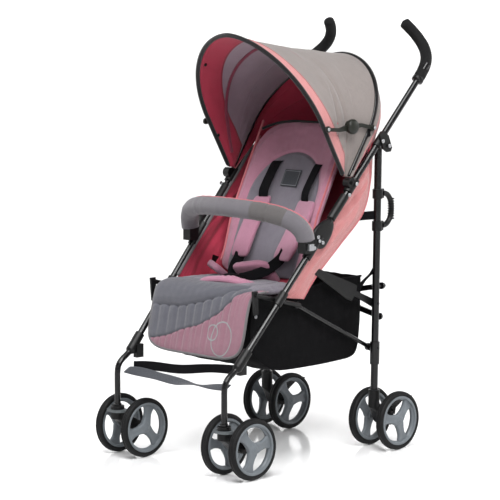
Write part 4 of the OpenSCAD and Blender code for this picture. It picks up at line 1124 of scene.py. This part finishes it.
t = np.linspace(0, 1, 70)
footX = -178 + 356 * t
roll = 0.5 * np.sin(t * 2 * pi) + 0.25 * np.sin(t * 5 * pi)
footPath = np.stack([footX, -263 + 34 * t + 1.5 * np.sin(t * 9), 229 + 30 * t + 2.0 * np.sin(t * 11) - 3 * np.sin(pi * t)], -1)
footAcross = np.stack([0 * t, np.sin(roll * 0.5) * 0.6, np.cos(roll * 0.5)], -1)
obj = ribbon("foot_strap_upper", mmToRow(footPath), 0.023, 0.0022, footAcross, webbing, "seat", seatKeep)
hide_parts("foot_straps")
footPath = np.stack([footX * 1.02, -284 + 3 * np.sin(t * 7), 219 + 2.5 * np.sin(t * 6 + 1) - 2 * np.sin(pi * t)], -1)
footAcross = np.stack([0 * t, np.cos(roll), 0.55 + np.sin(roll)], -1)
ribbon("foot_strap_lower", mmToRow(footPath), 0.025, 0.003, footAcross, slateWebbing, "seat", seatKeep)

print("stage: wheels")
wheelFacts = {"radius": 75.0, "tyre": 20.0, "rim": 62.0, "spoke": 11.0, "flare": 25.0, "offset": 47.5, "column": 193.0}


def lathe(profile, sides=96, closed=True):
    # a profile of (radius, sideways) points turned about the X axis
    prof = np.asarray(profile, float)
    a = np.arange(sides) * 2 * pi / sides
    v = np.stack([np.broadcast_to(prof[None, :, 1], (sides, len(prof))), prof[None, :, 0] * np.cos(a)[:, None],
            prof[None, :, 0] * np.sin(a)[:, None]], -1)
    run = np.r_[0, np.cumsum(np.linalg.norm(np.diff(prof, axis=0), axis=-1))]
    uv = np.stack(np.meshgrid(a * prof[:, 0].max(), run, indexing="ij"), -1).reshape(-1, 2) / 1000
    return v.reshape(-1, 3) / 1000, quadsOf(sides, len(prof), True, closed), uv


def spokeShell(angle, facing):
    # one arm of the wheel: from the hub to the rim it widens near both ends; its section is a crowned
    # slab with a shallow groove down the middle
    r = np.linspace(6, wheelFacts["rim"] - 5, 26)
    half = wheelFacts["spoke"] + (wheelFacts["flare"] - wheelFacts["spoke"]) * smoothstep(34, 58,
            r) * 0.55 + 3 * (1 - smoothstep(8, 24, r))
    s = np.linspace(0, 2 * pi, 28, endpoint=False)
    c, n = np.sign(np.cos(s)) * np.abs(np.cos(s)) ** 0.5, np.sign(np.sin(s)) * np.abs(np.sin(s)) ** 0.5
    crown = 8.5 - 4.5 * smoothstep(10, 55, r)
    depth = np.where(n[None] > 0, n[None] * crown[:, None] - 1.4 * np.exp(-(c[None] / 0.32) ** 2), n[None] * 5.0)
    x = facing * (0.5 + depth)
    y0, z0 = np.broadcast_to(r[:, None], x.shape), c[None] * half[:, None]
    y, z = y0 * cos(angle) - z0 * sin(angle), y0 * sin(angle) + z0 * cos(angle)
    v = np.stack([x, y, z], -1).reshape(-1, 3) / 1000
    return v, quadsOf(26, 28, False, True)


def capped(quads, n, m):
    # the quads with one cap of m corners at each end
    return quads.tolist() + [list(range(m)), list(range((n - 1) * m, n * m))]


def place(verts, x, y, z, turn=0.0):
    # y c - z s and y s + z c with c, s the cosine and sine of turn, then moved to x, y, z
    c, s = cos(turn), sin(turn)
    v = verts.copy()
    v[:, 1], v[:, 2] = verts[:, 1] * c - verts[:, 2] * s, verts[:, 1] * s + verts[:, 2] * c
    return v + at(x, y, z)


wheelKinds = [("front", -257.66), ("rear", 264.0)]
turns = {"front_left_outer": 0.22, "front_left_inner": 0.9, "front_right_outer": 0.2, "front_right_inner": 1.3,
         "rear_left_outer": 0.85, "rear_left_inner": 0.2, "rear_right_outer": 0.3, "rear_right_inner": 0.1}
tyreProfile = [(62.5, -7.5), (64, -9.2), (67.5, -10.0), (71, -9.4), (73.6, -7.4), (74.7, -4.6), (75, -1.6), (74.3, -1.0),
        (74.3, 1.0), (75, 1.6),
               (74.7, 4.6), (73.6, 7.4), (71, 9.4), (67.5, 10.0), (64, 9.2), (62.5, 7.5), (61, 6), (61, -6)]
rimProfile = [(56.5, -8.6), (57.5, -9.6), (62.2, -9.6), (63.2, -8.6), (63.2, 8.6), (62.2, 9.8), (58.2, 9.8), (57.0, 9.0),
        (56.6, 4.5), (53.5, 2.0), (53.0, -2.0), (56.2, -3.5)]
hubProfile = [(4.2, -9.5), (11.5, -9.5), (12.5, -8.5), (12.8, 6.5), (12.2, 8.4), (9.5, 9.4), (8.6, 9.2), (8.2, 9.8),
        (4.0, 10.0), (4.05, 0)]
for axleName, axleY in wheelKinds:
    for side, word in ((1, "left"), (-1, "right")):
        for facing, ring in ((1, "outer"), (-1, "inner")):
            body = f"wheel_{axleName}_{word}_{ring}"
            x = side * (wheelFacts["column"] + facing * wheelFacts["offset"])
            out = side * facing
            turn = turns[f"{axleName}_{word}_{ring}"]
            flipX = np.array([out, 1, 1])
            v, q, uv = lathe(tyreProfile)
            tyre = build(body + "_tyre", place(v * flipX, x, axleY, 75), q, tyreBlack, uv)
            fixNormals(tyre.data)
            finishPiece(tyre, body, (body,))
            vs, fs, base = [], [], 0
            for prof in (rimProfile, hubProfile):
                v, q, uv = lathe(prof)
                vs.append(place(v * flipX, x, axleY, 75))
                fs += (q + base).tolist()
                base += len(v)
            for k in range(3):
                v, q = spokeShell(turn + k * 2 * pi / 3, 1)
                vs.append(place(v * flipX, x, axleY, 75))
                fs += [[i + base for i in f] for f in capped(q, 26, 28)]
                base += len(v)
            mesh = bpy.data.meshes.new(body + "_rim")
            mesh.from_pydata(np.vstack(vs).tolist(), [], fs)
            mesh.polygons.foreach_set("use_smooth", np.full(len(mesh.polygons), True))
            fixNormals(mesh)
            rim = bpy.data.objects.new(body + "_rim", mesh)
            bpy.context.scene.collection.objects.link(rim)
            mesh.materials.append(rimPlastic)
            finishPiece(rim, body, ())
            sharp = rim.modifiers.new("edge", "BEVEL")
            sharp.width, sharp.segments, sharp.limit_method, sharp.angle_limit = 0.0006, 2, "ANGLE", radians(40)
            dome(body + "_cap", [at(x + out * 9.6, axleY, 75)], [(out, 0, 0)], 0.0046, 0.0016, rimPlastic, body)

print("stage: grips")
tubeAxis = unit(tubeAt(1.0) - tubeAt(0.0))
endPoint = tubeAt(950.0)
gripEnd = np.array([133, endPoint[1] + 14, endPoint[2] + 106])
gripCurve = bezier([tubeAt(895.0), tubeAt(895.0) + 60 * tubeAxis, (165, gripEnd[1] + 86, gripEnd[2] - 77), gripEnd], 90)
for side, word in ((1, "left"), (-1, "right")):
    path = gripCurve * np.array([side, 1, 1])
    u = np.linspace(0, 1, 90)
    r = 14.3 + 0.5 * np.sin(pi * u) + 0.25 * ripple(u * 500, 0 * u, 60, 101, 2)
    r = r * np.clip(u / 0.012, 0.25, 1) ** 0.5 * np.clip((1 - u) / 0.012, 0.25, 1) ** 0.5
    grip = tube(f"grip_{word}", mmToRow(path), r / 1000, gripFoam, 36, ref=(1, 0, 0.2))
    finishPiece(grip, f"frame_{word}", (f"handle_grip_{word}",))
    ring = tube(f"grip_collar_{word}", mmToRow(path[:5] * np.array([1, 1, 1])), 0.0148, blackPlastic, 32, ref=(1, 0, 0.2))
    finishPiece(ring, f"frame_{word}", ())

print("stage: fittings")
for name, turn, r0, top, body, bowNode in (("front", -30.2, 3.9, 421.0, "hood", "hood_bow_front"),
        ("rear", 33.0, 3.9, 369.0, "seat", "hood_bow_rear")):
    points = mmToRow(hoopPoint(np.linspace(0.0, 1.0, 200), turn, 203.6, top))
    bow = tube(f"{name}_bow_rod", points[5:-5], r0 / 1000, tubePaint, 12, ref=(0, 1, 0.01))
    finishPiece(bow, body, (bowNode,), hoodKeep)
for side, word in ((1, "left"), (-1, "right")):
    dome(f"hub_rivets_{word}", [at(side * 236.4, 206, 792), at(side * 236.4, 231, 779)], [(side, 0, 0)] * 2, 0.0052, 0.003,
            rivetSteel, f"frame_{word}")
    dome(f"knuckle_rivets_{word}", [at(side * 222.4, 191.5, 825)], [(side, 0, 0)], 0.0045, 0.0028, rivetSteel,
            f"stay_rear_{word}")
    dome(f"knuckle_tip_{word}", [at(side * 220.4, 26.0, 829)], [(side, 0, 0)], 0.0045, 0.0028, rivetSteel, f"stay_front_{word}")
    dome(f"knuckle_cap_{word}", [at(side * 219.2, 108.8, 832)], [(side, 0, 0)], 0.019, 0.015, olivePlastic,
            f"stay_front_{word}")
    dome(f"calf_rivets_{word}", [at(side * 176.5, -185, 421), at(side * 176.5, -183, 382)], [(side, 0, 0)] * 2, 0.0045,
            0.0028, rivetSteel, "calf", seatKeep)
    dome(f"clamp_rivets_{word}", [at(side * 229.3, 118, 690), at(side * 229.3, 92, 664)], [(side, 0, 0)] * 2, 0.0048, 0.0028,
            rivetSteel, f"frame_{word}")
    dome(f"mount_rivets_{word}", [at(side * 219.3, -4, 556), at(side * 219.3, -22, 540)], [(side, 0, 0)] * 2, 0.0045, 0.0028,
            rivetSteel, f"frame_{word}")

# leaf-shaped covers beside the bumper sockets: a crowned plate over a smooth outline, with two rivets
leafFacts = {"outline": [(44.3, 612.2), (52.0, 590.8), (40.3, 561.8), (14.7, 536.3), (-13.1, 542.4), (-20.7, 574.2),
        (1.5, 596.1)], "x": 208.0, "thick": 9.0}
outlineYz = through(leafFacts["outline"] + leafFacts["outline"][:1], 49)[:-1]
middle = outlineYz.mean(0)
for side, word in ((1, "left"), (-1, "right")):
    rings = [(1.0, 0.0), (1.0, 0.55), (0.96, 0.8), (0.86, 0.95), (0.6, 1.0), (0.3, 1.02), (0.02, 1.03)]
    grid = np.stack([at(np.full(48, side * (leafFacts["x"] + h * leafFacts["thick"])),
            *(middle + (outlineYz - middle) * k).T) for k, h in rings])
    leafFaces = quadsOf(len(rings), 48, False, True).tolist() + [list(range(48)), list(range(6 * 48, 7 * 48))]
    leaf = build(f"leaf_cover_{word}", grid.reshape(-1, 3), np.array(leafFaces[:-2]), blackPlastic)
    closer = bmesh.new()
    closer.from_mesh(leaf.data)
    bmesh.ops.holes_fill(closer, edges=[e for e in closer.edges if e.is_boundary], sides=0)
    closer.to_mesh(leaf.data)
    closer.free()
    fixNormals(leaf.data)
    finishPiece(leaf, f"frame_{word}", ())
    dome(f"leaf_rivets_{word}", [at(side * 217.4, *(-6.9, 565.6)), at(side * 217.4, *(9.2, 550.9))], [(side, 0, 0)] * 2,
            0.0048, 0.0028, rivetSteel, f"frame_{word}")

# soft ribs round the outer run of the carry handle
lowHandle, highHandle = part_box("carry_handle")
ribZ = np.linspace(590, 640, 9)
handleY = (highHandle[1] * 1000 + yMid) - 7
handleX = (lowHandle[0] + highHandle[0]) * 500
ringAngle = np.linspace(0, 2 * pi, 24, endpoint=False)
ribs = []
for z in ribZ:
    ribs.append(at(handleX + 7.2 * np.cos(ringAngle), handleY - 1.6 + 7.2 * np.sin(ringAngle), np.full(24, z)))
for k, ringPath in enumerate(ribs):
    rib = tube(f"handle_rib_{k}", ringPath, 0.0018, gripFoam, 8, ref=(0, 0, 1), closed=True)
    finishPiece(rib, "leg_left", ())

print("stage: frame finishes")
finishes = [(("front_tube", "rear_leg", "caster_stem", "side_brace", "cross_bar", "stem", "rear_axle_tube", "rear_cross"),
        tubePaint),
            (("knuckle",), olivePlastic), (("swivel_lock",), lockPlastic), (("cross_pivot", "bumper_latch"), rivetSteel),
            (("axle_housing", "foot_joint"), blackPlastic)]
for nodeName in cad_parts:
    chosen = blackPlastic
    for keys, material in finishes:
        if any(nodeName.startswith(k) for k in keys):
            chosen = material
            break
    obj = bpy.data.objects[nodeName]
    if not obj.data.materials:
        obj.data.materials.append(chosen)
    for slotItem in obj.material_slots:
        slotItem.material = chosen

print("stage: floor and light")
stageFacts = {"flat": 9.5, "outer": 13.0, "wall": 6.0, "white": 0.92, "world": 0.24}
r = np.r_[np.linspace(0.02, stageFacts["flat"], 30), np.linspace(stageFacts["flat"], stageFacts["outer"], 30)[1:]]
lift = stageFacts["wall"] * np.clip((r - stageFacts["flat"]) / (stageFacts["outer"] - stageFacts["flat"]), 0, 1) ** 2
ang = np.arange(96) * 2 * pi / 96
bowl = np.stack([r[:, None] * np.cos(ang), r[:, None] * np.sin(ang), np.broadcast_to(lift[:, None], (len(r), 96)) - 0.0006], -1)
floorV = np.vstack([bowl.reshape(-1, 3), [[0, 0, -0.0006]]])
centreIndex = len(floorV) - 1
floorF = quadsOf(len(r), 96, False, True).tolist() + [[(k + 1) % 96, k, centreIndex][::-1] for k in range(96)]
floorMat, ft, fs = newMaterial("floorWhite")
w = stageFacts["white"]
coord = ft.nodes.new("ShaderNodeTexCoord").outputs["Object"]
ft.links.new(mixColour(ft, noiseNode(ft, coord, 1.5, 2.0), (w, w, w, 1), (w * 0.985, w * 0.985, w * 0.99, 1)),
        fs.inputs["Base Color"])
fs.inputs["Roughness"].default_value = 0.12
fs.inputs["Specular IOR Level"].default_value = 0.5
floorMesh = bpy.data.meshes.new("floor")
floorMesh.from_pydata(floorV.tolist(), [], floorF)
fixNormals(floorMesh)
floor = bpy.data.objects.new("floor", floorMesh)
bpy.context.scene.collection.objects.link(floor)
floorMesh.materials.append(floorMat)

world = bpy.data.worlds.new("studio")
world.use_nodes = True
world.node_tree.nodes["Background"].inputs[0].default_value = (1, 1, 1, 1)
world.node_tree.nodes["Background"].inputs[1].default_value = stageFacts["world"]
bpy.context.scene.world = world
lights = [("key", (2.9, -1.6, 3.2), 1.8, 130), ("fill", (-3.2, -1.6, 2.6), 2.6, 30), ("rim", (2.0, 3.2, 2.4), 1.6, 40)]
sunData = bpy.data.lights.new("sky", "SUN")
sunData.energy, sunData.angle = 2.7, radians(32)
sun = bpy.data.objects.new("sky", sunData)
bpy.context.scene.collection.objects.link(sun)
sun.rotation_euler = (radians(22), radians(14), 0)
for name, spot, size, watts in lights:
    data = bpy.data.lights.new(name, "AREA")
    data.shape, data.size, data.energy = "DISK", size, watts
    lamp = bpy.data.objects.new(name, data)
    bpy.context.scene.collection.objects.link(lamp)
    lamp.location = spot
    lamp.rotation_mode = "QUATERNION"
    lamp.rotation_quaternion = (Vector((0, 0, 0.5)) - Vector(spot)).to_track_quat("-Z", "Y")

bpy.context.scene.view_settings.view_transform = "Standard"
print("stage: done")
